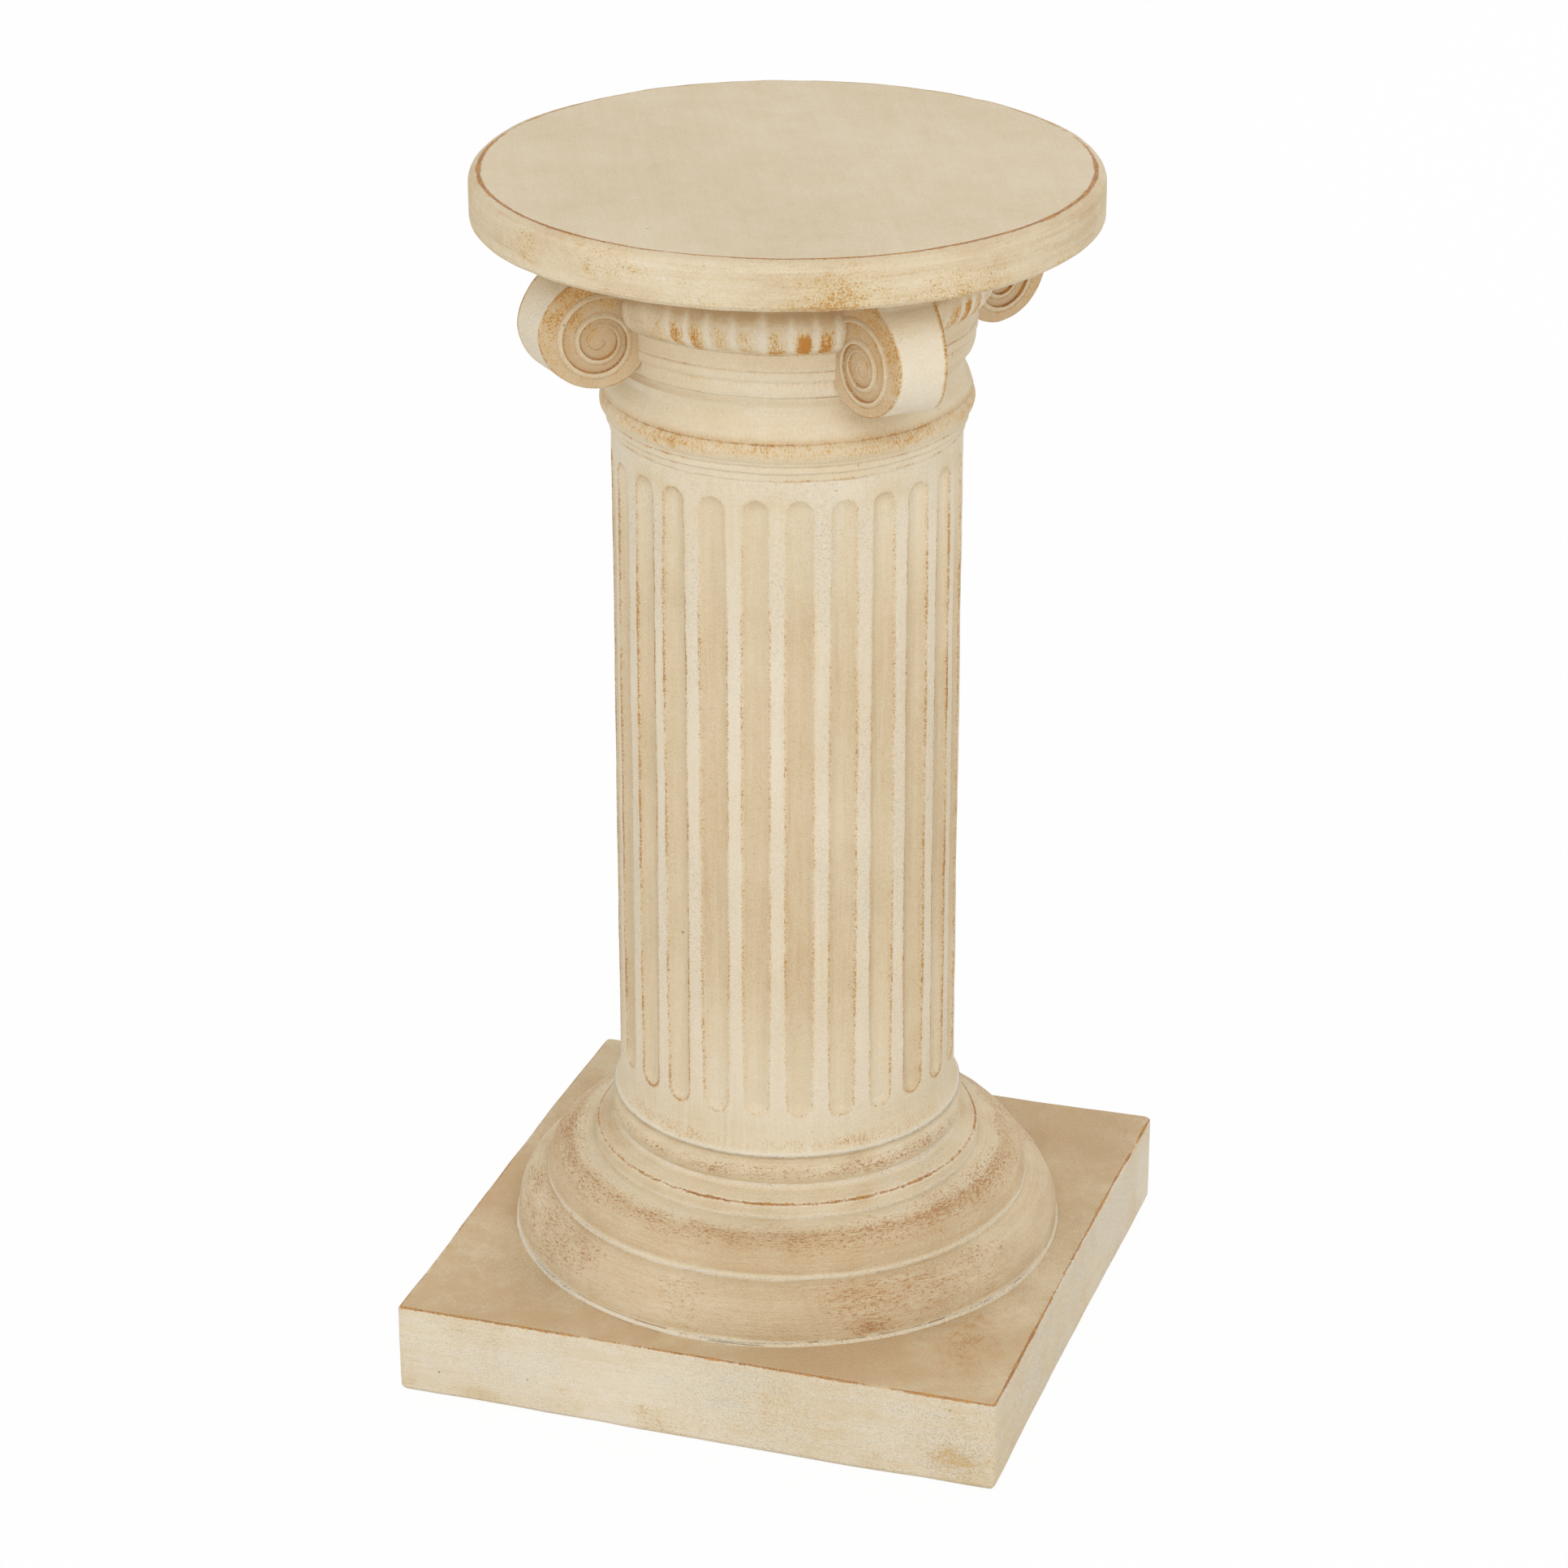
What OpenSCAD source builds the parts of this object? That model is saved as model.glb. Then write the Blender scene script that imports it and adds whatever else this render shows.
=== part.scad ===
// Pedestal plant stand: a short Ionic column with a square plinth and a round top slab.
// Hollow castings are stacked on spigots, and one central tie rod clamps the stack.
// Origin: on the floor, at the centre of the plinth, +Z up, plinth faces along X and Y.

/* [Overall] */
// Height from the floor to the top of the slab
total_h = 610; // [560:5:700]
// Thickness of the walls of the shaft casting
wall = 17; // [12:1:24]

/* [Plinth] */
// Side of the square plinth
plinth_side = 312; // [296:2:340]
// Height of the plinth
plinth_h = 48.2; // [42:0.2:56]
// Radius of the plinth's upright corners
plinth_corner_r = 4; // [2:0.5:8]

/* [Base mouldings] */
// Largest diameter of the lower torus
lower_torus_d = 281; // [272:1:290]
// Height of the lower torus
lower_torus_h = 28; // [24:1:34]
// Largest diameter of the upper torus
upper_torus_d = 247; // [240:1:254]
// Height of the upper torus
upper_torus_h = 20.5; // [17:0.5:26]
// Height of the collar between the upper torus and the shaft
collar_h = 29.3; // [26:0.1:34]

/* [Shaft] */
// Diameter of the fluted shaft
shaft_d = 170; // [164:1:176]
// Number of flutes round the shaft
flute_count = 25; // [16:1:26]
// Depth of a flute
flute_depth = 2.8; // [1.5:0.1:4]
// Width of a flute at the surface of the shaft
flute_w = 12.6; // [9:0.1:14]
// Plain band left above and below the flutes
flute_margin = 20.5; // [16:0.5:30]

/* [Capital] */
// Height of the necking, from the top of the shaft to the first fillet
neck_h = 36.3; // [34:0.1:42]
// Distance from the axis to the outermost point of a volute
volute_reach = 136.3; // [133:0.1:140]
// Width of a volute across its outer rim
volute_rim_w = 24.8; // [20:0.2:28]
// Height of the raised spiral on the faces of a volute
spiral_relief = 0.9; // [0.4:0.1:1.4]
// Number of ribs on one echinus segment
rib_count = 9; // [5:1:10]
// Height of a rib above the echinus
rib_relief = 1.1; // [0.5:0.1:1.6]

/* [Top slab] */
// Diameter of the round slab
slab_d = 302; // [290:1:330]
// Thickness of the slab
slab_t = 24; // [22:1:32]
// Radius of the slab's upper edge
slab_edge_r = 5.7; // [2:0.1:7]

/* [Fastening] */
// Diameter of the tie rod
rod_d = 10; // [8:1:12]
// Diameter of the wooden board set into the slab
board_d = 190; // [180:1:220]
// Thickness of the wooden board
board_t = 12; // [10:0.5:13]
// How far the felt pads stand out below the plinth
pad_proud = 1; // [0.5:0.1:2]

/* [Hidden] */

cream = [0.87, 0.81, 0.69];
steel = [0.66, 0.67, 0.68];
birch = [0.78, 0.62, 0.42];
felt = [0.32, 0.27, 0.22];

// Direction of the first flute, from +X
first_flute = -68.2;

// Facets of full turns, of small rounds and of an arc in an outline
turn_fn = 96;
small_fn = 36;
arc_steps = 6;

// Clearance of the castings' spigots and pockets, and of the rod in its holes
fit_gap = 0.3;
rod_gap = 0.3;
// How far a cutter runs past the face that it opens
over = 1;

// Heights of the joints between the castings
plinth_top = pad_proud + plinth_h;
lower_top = plinth_top + lower_torus_h;
upper_top = lower_top + upper_torus_h;
collar_top = upper_top + collar_h;
slab_under = total_h - slab_t;
abacus_t = 8;
bell_top = slab_under - abacus_t;
echinus_h = 22;
canalis_h = 10;
fillets_h = 27.2;
echinus_bottom = bell_top - canalis_h - echinus_h;
bell_bottom = echinus_bottom - fillets_h;
shaft_top = bell_bottom - neck_h;

// Radii: the mouldings follow the shaft, so they keep their overhang when it changes
shaft_r = shaft_d / 2;
shaft_bore_r = shaft_r - wall;
foot_flare = 4;
foot_r = shaft_r + foot_flare;
foot_edge = 1;
ring_overhang = 13.6;
ring_r = shaft_r + ring_overhang;
waist_overhang = 4.3;
collar_waist_r = shaft_r + waist_overhang;
necking_in = 0.3;
neck_waist_r = shaft_r - necking_in;
astragal_overhang = 5.6;
astragal_r = shaft_r + astragal_overhang;
bell_overhang = 6.4;
bell_r = shaft_r + bell_overhang;
core_overhang = 3;
bell_core_r = shaft_r + core_overhang;
echinus_overhang = 13.8;
echinus_r = shaft_r + echinus_overhang;
canalis_overhang = 10.5;
canalis_r = shaft_r + canalis_overhang;

// Spigots: each casting drops a ring into the bore of the one below
spigot_h = 6;
spigot_t = 9;
lower_bore_r = shaft_r;
upper_bore_r = lower_bore_r - fit_gap - spigot_t;
collar_bore_r = shaft_bore_r - fit_gap - spigot_t;
bell_bore_r = collar_bore_r - fit_gap - spigot_t;
plinth_hole_r = lower_bore_r + spigot_t + fit_gap;

// Plinth shell, with a wooden block glued into each inner corner
plinth_wall = 16;
plinth_roof_t = 12;
corner_block = 44;

// Echinus: a bulging ribbed band below a plain one, with the share of the pitch that a rib takes
echinus_lip_in = 1.4;
echinus_lip_r = bell_r - echinus_lip_in;
echinus_bulge = 12;
echinus_bulge_mid = 13.5;
rib_share = 0.62;

// Volutes: arcs of the outline round the eye, as seen square to the diagonal
volute_eye_drop_h = 41.4;
volute_eye_z = slab_under - volute_eye_drop_h;
volute_outer_r = 29;
volute_inner_r = 22;
volute_crown_r = 28;
volute_eye_shift = 0.7;
volute_eye_drop = 1.6;
volute_rise = volute_outer_r - volute_inner_r - volute_eye_drop;
volute_eye_reach = volute_reach - volute_outer_r - volute_eye_shift;
volute_root_reach = volute_eye_reach - volute_inner_r + volute_eye_shift;
volute_taper = 10.4;
volute_eye_half_w = volute_rim_w / 2 + (volute_reach - volute_eye_reach) * tan(volute_taper);

// Spiral ridge: quarter turns, each smaller than the one before by the same ratio
spiral_start_r = 19.4;
spiral_ratio = 0.87;
spiral_quarters = 10;
spiral_centre_out = 0;
spiral_centre_up = 1.2;
spiral_w = 2.2;
spiral_w_end = 0.55;
spiral_root = 0.6;

// Abacus: a plate that follows the echinus, with a horn over each volute
abacus_overhang = 8;
abacus_r = canalis_r + abacus_overhang;
horn_in = 11;
horn_reach = volute_reach - horn_in;

// Fastening hardware
board_clear = 0.5;
tee_flange_r = 12;
tee_flange_t = 1.6;
tee_barrel_wall = 1.7;
tee_barrel_r = rod_d / 2 + tee_barrel_wall;
tee_barrel_h = 9;
screw_from_bore = 14;
screw_ring_r = bell_bore_r + screw_from_bore;
screw_count = 4;
screw_r = 2;
screw_head_r = 4;
screw_head_h = 2.4;
screw_len = 17;
screw_gap = 0.15;
bar_t = 6;
bar_w = 40;
bar_bearing = 18;
bar_len = 2 * (plinth_hole_r + bar_bearing);
washer_r = 15;
washer_t = 2.5;
nut_flats_share = 1.7;
nut_flats = nut_flats_share * rod_d;
nut_h_share = 0.8;
nut_h = nut_h_share * rod_d;
rod_tail = 6;
bar_top = plinth_top - plinth_roof_t;
nut_top = bar_top - bar_t - washer_t;
rod_bottom = nut_top - nut_h - rod_tail;
board_top = slab_under + board_t;
pad_r = 14;
pad_t = 3;
pad_place = plinth_side / 2 - plinth_wall - corner_block / 2;

// Points of an elliptical arc round [cx, cz], from angle a0 to angle a1
function arc(cx, cz, rx, rz, a0, a1, steps = arc_steps) = [
    for (i = [0:steps])
    let (a = a0 + (a1 - a0) * i / steps)
    [cx + rx * cos(a), cz + rz * sin(a)]
];

// Outline of a ring casting from its outer outline, its bore and its spigot, bottom to top
function ring_outline(outer, bore_r, bottom, top, spigot_r) = concat(
    outer,
    [[bore_r, top], [bore_r, bottom - spigot_h], [spigot_r, bottom - spigot_h], [spigot_r, bottom]]
);

module turned(points) {
    rotate_extrude($fn = turn_fn)
        polygon(points);
}

module disc(r, z0, z1, fn = small_fn) {
    translate([0, 0, z0])
        cylinder(r = r, h = z1 - z0, $fn = fn);
}

module at_corners(reach) {
    for (sx = [-1, 1])
        for (sy = [-1, 1])
            translate([sx * reach, sy * reach, 0])
                children();
}

// Plinth: a square shell, open below, with a round hole in its roof
module rounded_square(side, r) {
    union() {
        square([side, side - 2 * r], center = true);
        square([side - 2 * r, side], center = true);
        at_corners(side / 2 - r)
            circle(r = r, $fn = small_fn);
    }
}

module plinth() {
    inner = plinth_side - 2 * plinth_wall;
    color(cream)
        difference() {
            translate([0, 0, pad_proud])
                linear_extrude(height = plinth_h)
                    rounded_square(plinth_side, plinth_corner_r);
            translate([-inner / 2, -inner / 2, pad_proud - over])
                cube([inner, inner, plinth_h - plinth_roof_t + over]);
            disc(plinth_hole_r, bar_top - over, plinth_top + over, turn_fn);
        }
}

// Blocks in the inner corners: they stiffen the shell and carry the pads
module corner_blocks() {
    color(birch)
        at_corners(pad_place)
            translate([-corner_block / 2, -corner_block / 2, pad_t])
                cube([corner_block, corner_block, bar_top - pad_t]);
}

// Lower torus: a fat round moulding on a thin fillet
module lower_torus() {
    foot_h = 1.2;
    foot_in = 2.5;
    widest_h = 3.6;
    bulge = 17;
    r = lower_torus_d / 2;
    outer = concat(
        [[r - foot_in, plinth_top], [r - foot_in, plinth_top + foot_h]],
        arc(r - bulge, plinth_top + widest_h, bulge, lower_torus_h - widest_h, -8, 90)
    );
    color(cream)
        turned(ring_outline(outer, lower_bore_r, plinth_top, lower_top, lower_bore_r + spigot_t));
}

// Upper torus: it rises from a small ledge to the foot of the ring fillet
module upper_torus() {
    ledge_h = 1.5;
    tuck = 2;
    r = upper_torus_d / 2;
    rise = upper_torus_h - ledge_h;
    outer = concat(
        [[r, lower_top], [r, lower_top + ledge_h]],
        arc(ring_r - tuck, lower_top + ledge_h, r - ring_r + tuck, rise, 0, 82),
        [[ring_r - tuck, upper_top]]
    );
    color(cream)
        turned(ring_outline(outer, upper_bore_r, lower_top, upper_top, upper_bore_r + spigot_t));
}

// Base collar: the ring fillet, a hollow and a small torus, with an upstand that centres the shaft
module base_collar() {
    ring_h = 8.4;
    ring_edge = 1.5;
    cove_top = 11.4;
    bead_mid = 20;
    bead_r = 8.6;
    bead_half_h = 8;
    cove_out = 1;
    top = collar_top + spigot_h;
    outer = concat(
        [[ring_r, upper_top], [ring_r, upper_top + ring_h - ring_edge]],
        [[ring_r - ring_edge, upper_top + ring_h], [collar_waist_r + cove_out, upper_top + cove_top]],
        arc(collar_waist_r - bead_r + cove_out, upper_top + bead_mid, bead_r, bead_half_h, -70, 70, 7),
        [[foot_r - foot_edge, collar_top]],
        [[shaft_bore_r - fit_gap, collar_top], [shaft_bore_r - fit_gap, top]]
    );
    points = concat(
        outer,
        [[collar_bore_r, top], [collar_bore_r, upper_top - spigot_h]],
        [[upper_bore_r - fit_gap, upper_top - spigot_h], [upper_bore_r - fit_gap, upper_top]]
    );
    color(cream)
        turned(points);
}

// Shaft: a tube with a flared foot and round-ended flutes
module flute_cutter(length) {
    // Radius of the scoop whose chord is the flute's width at the flute's depth
    scoop_r = (flute_w * flute_w / 4 + flute_depth * flute_depth) / (2 * flute_depth);
    end_h = flute_w / 2;
    profile = concat(
        [[0, 0]],
        arc(0, end_h, scoop_r, end_h, -80, 0, 4),
        arc(0, length - end_h, scoop_r, end_h, 0, 80, 4),
        [[0, length]]
    );
    translate([shaft_r - flute_depth + scoop_r, 0, 0])
        rotate_extrude($fn = turn_fn)
            polygon(profile);
}

module fluted_shaft() {
    flare_h = 13;
    flute_from = collar_top + flute_margin;
    flute_to = shaft_top - flute_margin / 2;
    color(cream)
        difference() {
            turned(concat(
                [[shaft_bore_r, collar_top], [foot_r - foot_edge, collar_top], [foot_r, collar_top + foot_edge]],
                arc(foot_r, collar_top + flare_h, foot_flare, flare_h - 2 * foot_edge, -95, -180, 4),
                [[shaft_r, shaft_top], [shaft_bore_r, shaft_top]]
            ));
            for (i = [0:flute_count - 1])
                rotate([0, 0, first_flute + i * 360 / flute_count])
                    translate([0, 0, flute_from])
                        flute_cutter(flute_to - flute_from);
        }
}

// Neck collar: two steps, the astragal and the hollow necking
module neck_collar() {
    step_out = 1;
    step_h = 5.4;
    lip_out = 2.4;
    lip_h = 3.6;
    bead_mid = shaft_top + 14.7;
    bead_half = 5.2;
    shoulder_h = 21;
    hollow_h = 24.5;
    waist_h = 29.5;
    lip_r = shaft_r + lip_out;
    outer = concat(
        [[shaft_r + step_out, shaft_top], [shaft_r + step_out, shaft_top + step_h]],
        [[lip_r, shaft_top + step_h + step_out], [lip_r, shaft_top + step_h + lip_h]],
        arc(astragal_r - bead_half, bead_mid, bead_half, bead_half, -70, 80),
        [[astragal_r - lip_out, shaft_top + shoulder_h], [neck_waist_r + 2 * step_out, shaft_top + hollow_h]],
        [[neck_waist_r, shaft_top + waist_h], [neck_waist_r + core_overhang, bell_bottom]]
    );
    color(cream)
        turned(ring_outline(outer, collar_bore_r, shaft_top, bell_bottom, shaft_bore_r - fit_gap));
}

// Volute body seen square to its diagonal, grown all round by g
module quarter_disc(r, side_x, side_z) {
    intersection() {
        circle(r = r, $fn = turn_fn);
        translate([side_x > 0 ? 0 : -2 * r, side_z > 0 ? 0 : -2 * r])
            square(2 * r);
    }
}

module volute_outline(g) {
    crown = bell_top - volute_eye_z + g;
    x_in = volute_eye_shift - volute_inner_r - g;
    x_out = volute_eye_shift + volute_outer_r;
    x_crown = x_out - volute_crown_r;
    translate([volute_eye_shift, -volute_eye_drop])
        quarter_disc(volute_inner_r + g, -1, -1);
    translate([volute_eye_shift, volute_rise])
        quarter_disc(volute_outer_r + g, 1, -1);
    translate([x_crown, volute_rise])
        quarter_disc(volute_crown_r + g, 1, 1);
    translate([x_in, -volute_eye_drop])
        square([volute_eye_shift - x_in, crown + volute_eye_drop]);
    translate([volute_eye_shift, volute_rise - over])
        square([x_crown - volute_eye_shift + over, crown - volute_rise + over]);
}

// Wedge between the two faces of a volute, in plan, grown by g
module volute_wedge(g) {
    near = volute_root_reach - over;
    far = volute_reach + over;
    near_w = volute_eye_half_w + (volute_eye_reach - near) * tan(volute_taper) + g;
    far_w = volute_eye_half_w - (far - volute_eye_reach) * tan(volute_taper) + g;
    translate([0, 0, volute_eye_z - 2 * volute_inner_r])
        linear_extrude(height = 4 * volute_outer_r)
            polygon([[near, -near_w], [far, -far_w], [far, far_w], [near, near_w]]);
}

module volute_body(g = 0) {
    deep = 4 * volute_eye_half_w;
    intersection() {
        translate([volute_eye_reach, deep / 2, volute_eye_z])
            rotate([90, 0, 0])
                linear_extrude(height = deep)
                    volute_outline(g);
        volute_wedge(g);
        // The crown is cut flat where the abacus lies on it
        translate([0, -deep, 0])
            cube([2 * volute_reach, 2 * deep, bell_top + g]);
    }
}

// One quarter turn after another: [centre x, centre z, radius, first angle]
function spiral_arcs(n, cx, cz, r, a) = n == 0 ? [] : concat(
    [[cx, cz, r, a]],
    spiral_arcs(
        n - 1,
        cx + r * (1 - spiral_ratio) * cos(a - 90),
        cz + r * (1 - spiral_ratio) * sin(a - 90),
        r * spiral_ratio,
        a - 90
    )
);

module quarter_ring(r, w) {
    intersection() {
        difference() {
            circle(r = r + w / 2, $fn = turn_fn);
            circle(r = r - w / 2, $fn = turn_fn);
        }
        translate([0, -2 * r])
            square(2 * r);
    }
}

// The ridge starts above the eye and winds outwards, down and in
module spiral_ridge() {
    for (q = spiral_arcs(spiral_quarters, spiral_centre_out, spiral_centre_up, spiral_start_r, 90))
        translate([q[0], q[1]])
            rotate(q[3])
                quarter_ring(q[2], spiral_w * (spiral_w_end + (1 - spiral_w_end) * q[2] / spiral_start_r));
}

module face_spiral(side) {
    translate([volute_eye_reach, side * volute_eye_half_w, volute_eye_z])
        rotate([90, 0, -side * volute_taper])
            translate([0, 0, side > 0 ? -spiral_relief : -spiral_root])
                linear_extrude(height = spiral_relief + spiral_root)
                    spiral_ridge();
}

// Space that the echinus fills, so that the ridges stop where they meet it
module echinus_space() {
    translate([0, 0, echinus_bottom - fit_gap])
        cylinder(r = echinus_r + rib_relief + fit_gap, h = bell_top, $fn = turn_fn);
    disc(bell_r + fit_gap, shaft_top, bell_top, turn_fn);
}

module volute(angle) {
    color(cream)
        rotate([0, 0, angle])
            union() {
                volute_body();
                difference() {
                    union() {
                        face_spiral(1);
                        face_spiral(-1);
                    }
                    echinus_space();
                }
            }
}

module volute_front_right() { volute(-45); }
module volute_back_right() { volute(45); }
module volute_back_left() { volute(135); }
module volute_front_left() { volute(-135); }

// Bell: fillets at its foot and a plain core above, with a pocket for the root of each volute
module capital_bell() {
    lower_in = 4.4;
    lower_rise = 5.8;
    lower_h = 2.6;
    cove_h = 3.5;
    upper_round = 3.1;
    upper_h = 4.2;
    lower_z = bell_bottom + lower_rise;
    cove_z = lower_z + lower_h + cove_h;
    upper_z = cove_z + upper_round + upper_h;
    outer = [
        [neck_waist_r + core_overhang, bell_bottom],
        [bell_r - lower_in, lower_z],
        [bell_r - lower_in, lower_z + lower_h],
        [bell_r - echinus_lip_in / 2, cove_z],
        [bell_r, cove_z + upper_round],
        [bell_r, upper_z],
        [echinus_lip_r, upper_z + echinus_lip_in],
        [echinus_lip_r, echinus_bottom],
        [bell_core_r, echinus_bottom],
        [bell_core_r, bell_top]
    ];
    color(cream)
        difference() {
            turned(ring_outline(outer, bell_bore_r, bell_bottom, bell_top, collar_bore_r - fit_gap));
            for (i = [0:3])
                rotate([0, 0, 45 + i * 90])
                    volute_body(fit_gap);
        }
}

// Echinus segment between two volutes: ribs on a bulging band, and the plain canalis above
function echinus_outline(grow) = concat(
    [[bell_core_r + fit_gap, echinus_bottom], [echinus_lip_r + grow, echinus_bottom]],
    arc(
        echinus_r - echinus_bulge, echinus_bottom + echinus_bulge_mid,
        echinus_bulge + grow, echinus_bulge_mid, -55, 42
    )
);

module echinus_segment(angle) {
    span = 78;
    end_margin = 2;
    ribbed = 90 - 2 * (asin(volute_eye_half_w / echinus_r) + end_margin);
    pitch = ribbed / rib_count;
    band = concat(
        echinus_outline(0),
        [[canalis_r, echinus_bottom + echinus_h], [canalis_r, bell_top]],
        [[bell_core_r + fit_gap, bell_top]]
    );
    rib = concat(echinus_outline(rib_relief), [[bell_core_r + fit_gap, echinus_bottom + echinus_h]]);
    color(cream)
        rotate([0, 0, angle])
            difference() {
                union() {
                    rotate([0, 0, -span / 2])
                        rotate_extrude(angle = span, $fn = turn_fn)
                            polygon(band);
                    for (i = [0:rib_count - 1])
                        rotate([0, 0, -ribbed / 2 + (i + 0.5 - rib_share / 2) * pitch])
                            rotate_extrude(angle = pitch * rib_share, $fn = turn_fn)
                                polygon(rib);
                }
                for (side = [-45, 45])
                    rotate([0, 0, side])
                        volute_body(fit_gap);
            }
}

module echinus_front() { echinus_segment(-90); }
module echinus_right() { echinus_segment(0); }
module echinus_back() { echinus_segment(90); }
module echinus_left() { echinus_segment(180); }

// Screws that hold the abacus to the board, with their heads sunk into the abacus
module screw_places() {
    for (i = [0:screw_count - 1])
        rotate([0, 0, i * 360 / screw_count])
            translate([screw_ring_r, 0, 0])
                children();
}

module screw_shape(g) {
    head_z = bell_top;
    translate([0, 0, head_z])
        cylinder(r = screw_head_r + g, h = screw_head_h / 2, $fn = small_fn);
    translate([0, 0, head_z + screw_head_h / 2])
        cylinder(r1 = screw_head_r + g, r2 = screw_r + g, h = screw_head_h, $fn = small_fn);
    translate([0, 0, head_z + screw_head_h / 2])
        cylinder(r = screw_r + g, h = screw_len - screw_head_h / 2 + g, $fn = small_fn);
}

// Abacus: a flat ring under the slab, with a horn over each volute that holds it down
// Horn of the abacus over one volute, in plan, as wide as the volute where it ends
module abacus_horn() {
    near_w = volute_eye_half_w;
    far_w = volute_eye_half_w - (horn_reach - volute_eye_reach) * tan(volute_taper);
    translate([0, 0, bell_top])
        linear_extrude(height = abacus_t)
            polygon([[bell_core_r, -near_w], [horn_reach, -far_w], [horn_reach, far_w], [bell_core_r, near_w]]);
}

module abacus_plate() {
    color(cream)
        difference() {
            union() {
                disc(abacus_r, bell_top, slab_under, turn_fn);
                for (i = [0:3])
                    rotate([0, 0, 45 + i * 90])
                        abacus_horn();
            }
            disc(bell_bore_r, bell_top - over, slab_under + over, turn_fn);
            screw_places()
                screw_shape(screw_gap);
        }
}

// Top slab: a round slab with a recess below for the board
module top_slab() {
    r = slab_d / 2;
    lower_edge = 1.6;
    color(cream)
        difference() {
            turned(concat(
                [[0, slab_under], [r - lower_edge, slab_under], [r, slab_under + lower_edge]],
                arc(r - slab_edge_r, total_h - slab_edge_r, slab_edge_r, slab_edge_r, 0, 90),
                [[0, total_h]]
            ));
            disc(board_d / 2 + board_clear, slab_under - over, board_top, turn_fn);
        }
}

// Board: plywood disc that carries the tee nut and takes the screws
module slab_board() {
    color(birch)
        difference() {
            disc(board_d / 2, slab_under, board_top, turn_fn);
            disc(tee_barrel_r + rod_gap, slab_under - over, board_top + over);
            disc(tee_flange_r + rod_gap, board_top - tee_flange_t, board_top + over);
            screw_places()
                screw_shape(screw_gap);
        }
}

module board_screws() {
    color(steel)
        screw_places()
            screw_shape(0);
}

module tee_nut() {
    color(steel)
        difference() {
            union() {
                disc(tee_flange_r, board_top - tee_flange_t, board_top);
                disc(tee_barrel_r, board_top - tee_flange_t - tee_barrel_h, board_top);
            }
            disc(rod_d / 2 + rod_gap, slab_under - over, board_top + over);
        }
}

module tie_rod() {
    color(steel)
        disc(rod_d / 2, rod_bottom, board_top - rod_gap);
}

// Spreader bar: it bears on the roof of the plinth from below
module spreader_bar() {
    color(steel)
        difference() {
            translate([-bar_len / 2, -bar_w / 2, bar_top - bar_t])
                cube([bar_len, bar_w, bar_t]);
            disc(rod_d / 2 + rod_gap, bar_top - bar_t - over, bar_top + over);
        }
}

module washer() {
    color(steel)
        difference() {
            disc(washer_r, nut_top, nut_top + washer_t);
            disc(rod_d / 2 + rod_gap, nut_top - over, nut_top + washer_t + over);
        }
}

module hex_nut() {
    color(steel)
        difference() {
            disc(nut_flats / sqrt(3), nut_top - nut_h, nut_top, 6);
            disc(rod_d / 2 + rod_gap, nut_top - nut_h - over, nut_top + over);
        }
}

module foot_pads() {
    color(felt)
        at_corners(pad_place)
            disc(pad_r, 0, pad_t);
}

plinth();
corner_blocks();
lower_torus();
upper_torus();
base_collar();
fluted_shaft();
neck_collar();
capital_bell();
echinus_front();
echinus_right();
echinus_back();
echinus_left();
volute_front_right();
volute_back_right();
volute_back_left();
volute_front_left();
abacus_plate();
top_slab();
slab_board();
board_screws();
tee_nut();
tie_rod();
spreader_bar();
washer();
hex_nut();
foot_pads();
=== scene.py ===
import math

import bpy
import numpy as np
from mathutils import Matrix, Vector


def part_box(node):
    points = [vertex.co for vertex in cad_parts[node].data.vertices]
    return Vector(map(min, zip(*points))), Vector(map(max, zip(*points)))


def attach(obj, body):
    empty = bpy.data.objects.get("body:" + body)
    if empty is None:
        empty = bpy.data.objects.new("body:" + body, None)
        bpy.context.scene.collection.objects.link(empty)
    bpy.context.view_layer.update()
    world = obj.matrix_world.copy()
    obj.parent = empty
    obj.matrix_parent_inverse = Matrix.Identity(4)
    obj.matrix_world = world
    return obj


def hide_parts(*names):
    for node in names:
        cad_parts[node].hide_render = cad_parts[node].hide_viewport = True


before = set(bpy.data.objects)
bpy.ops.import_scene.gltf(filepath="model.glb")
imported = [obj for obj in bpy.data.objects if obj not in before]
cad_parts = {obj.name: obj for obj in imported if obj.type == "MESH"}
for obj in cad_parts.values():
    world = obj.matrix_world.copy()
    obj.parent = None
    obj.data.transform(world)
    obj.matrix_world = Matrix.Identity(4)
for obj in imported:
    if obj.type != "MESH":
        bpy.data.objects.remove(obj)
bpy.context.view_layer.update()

MM = 0.001
TURN = 2 * math.pi
BODY = "root"


# Sizes read from the frame

def top_of(node):
    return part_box(node)[1].z


def bottom_of(node):
    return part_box(node)[0].z


def radius_of(node):
    low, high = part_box(node)
    return (high.y - low.y) / 2


FLOOR_GAP = bottom_of("plinth")
PLINTH_HALF = radius_of("plinth")
PLINTH_TOP = top_of("plinth")
LOWER_TOP = top_of("lower_torus")
LOWER_R = radius_of("lower_torus")
UPPER_TOP = top_of("upper_torus")
UPPER_R = radius_of("upper_torus")
RING_R = radius_of("base_collar")
COLLAR_TOP = bottom_of("fluted_shaft")
SHAFT_TOP = top_of("fluted_shaft")
FOOT_R = radius_of("fluted_shaft")
SHAFT_R = FOOT_R - 4 * MM
WAIST_R = SHAFT_R - 0.5 * MM
BELL_TOP = top_of("capital_bell")
BELL_BOTTOM = top_of("neck_collar")
BELL_R = radius_of("capital_bell")
ECHINUS_BOTTOM = bottom_of("echinus_front")
SLAB_UNDER = bottom_of("top_slab")
SLAB_TOP = top_of("top_slab")
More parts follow.
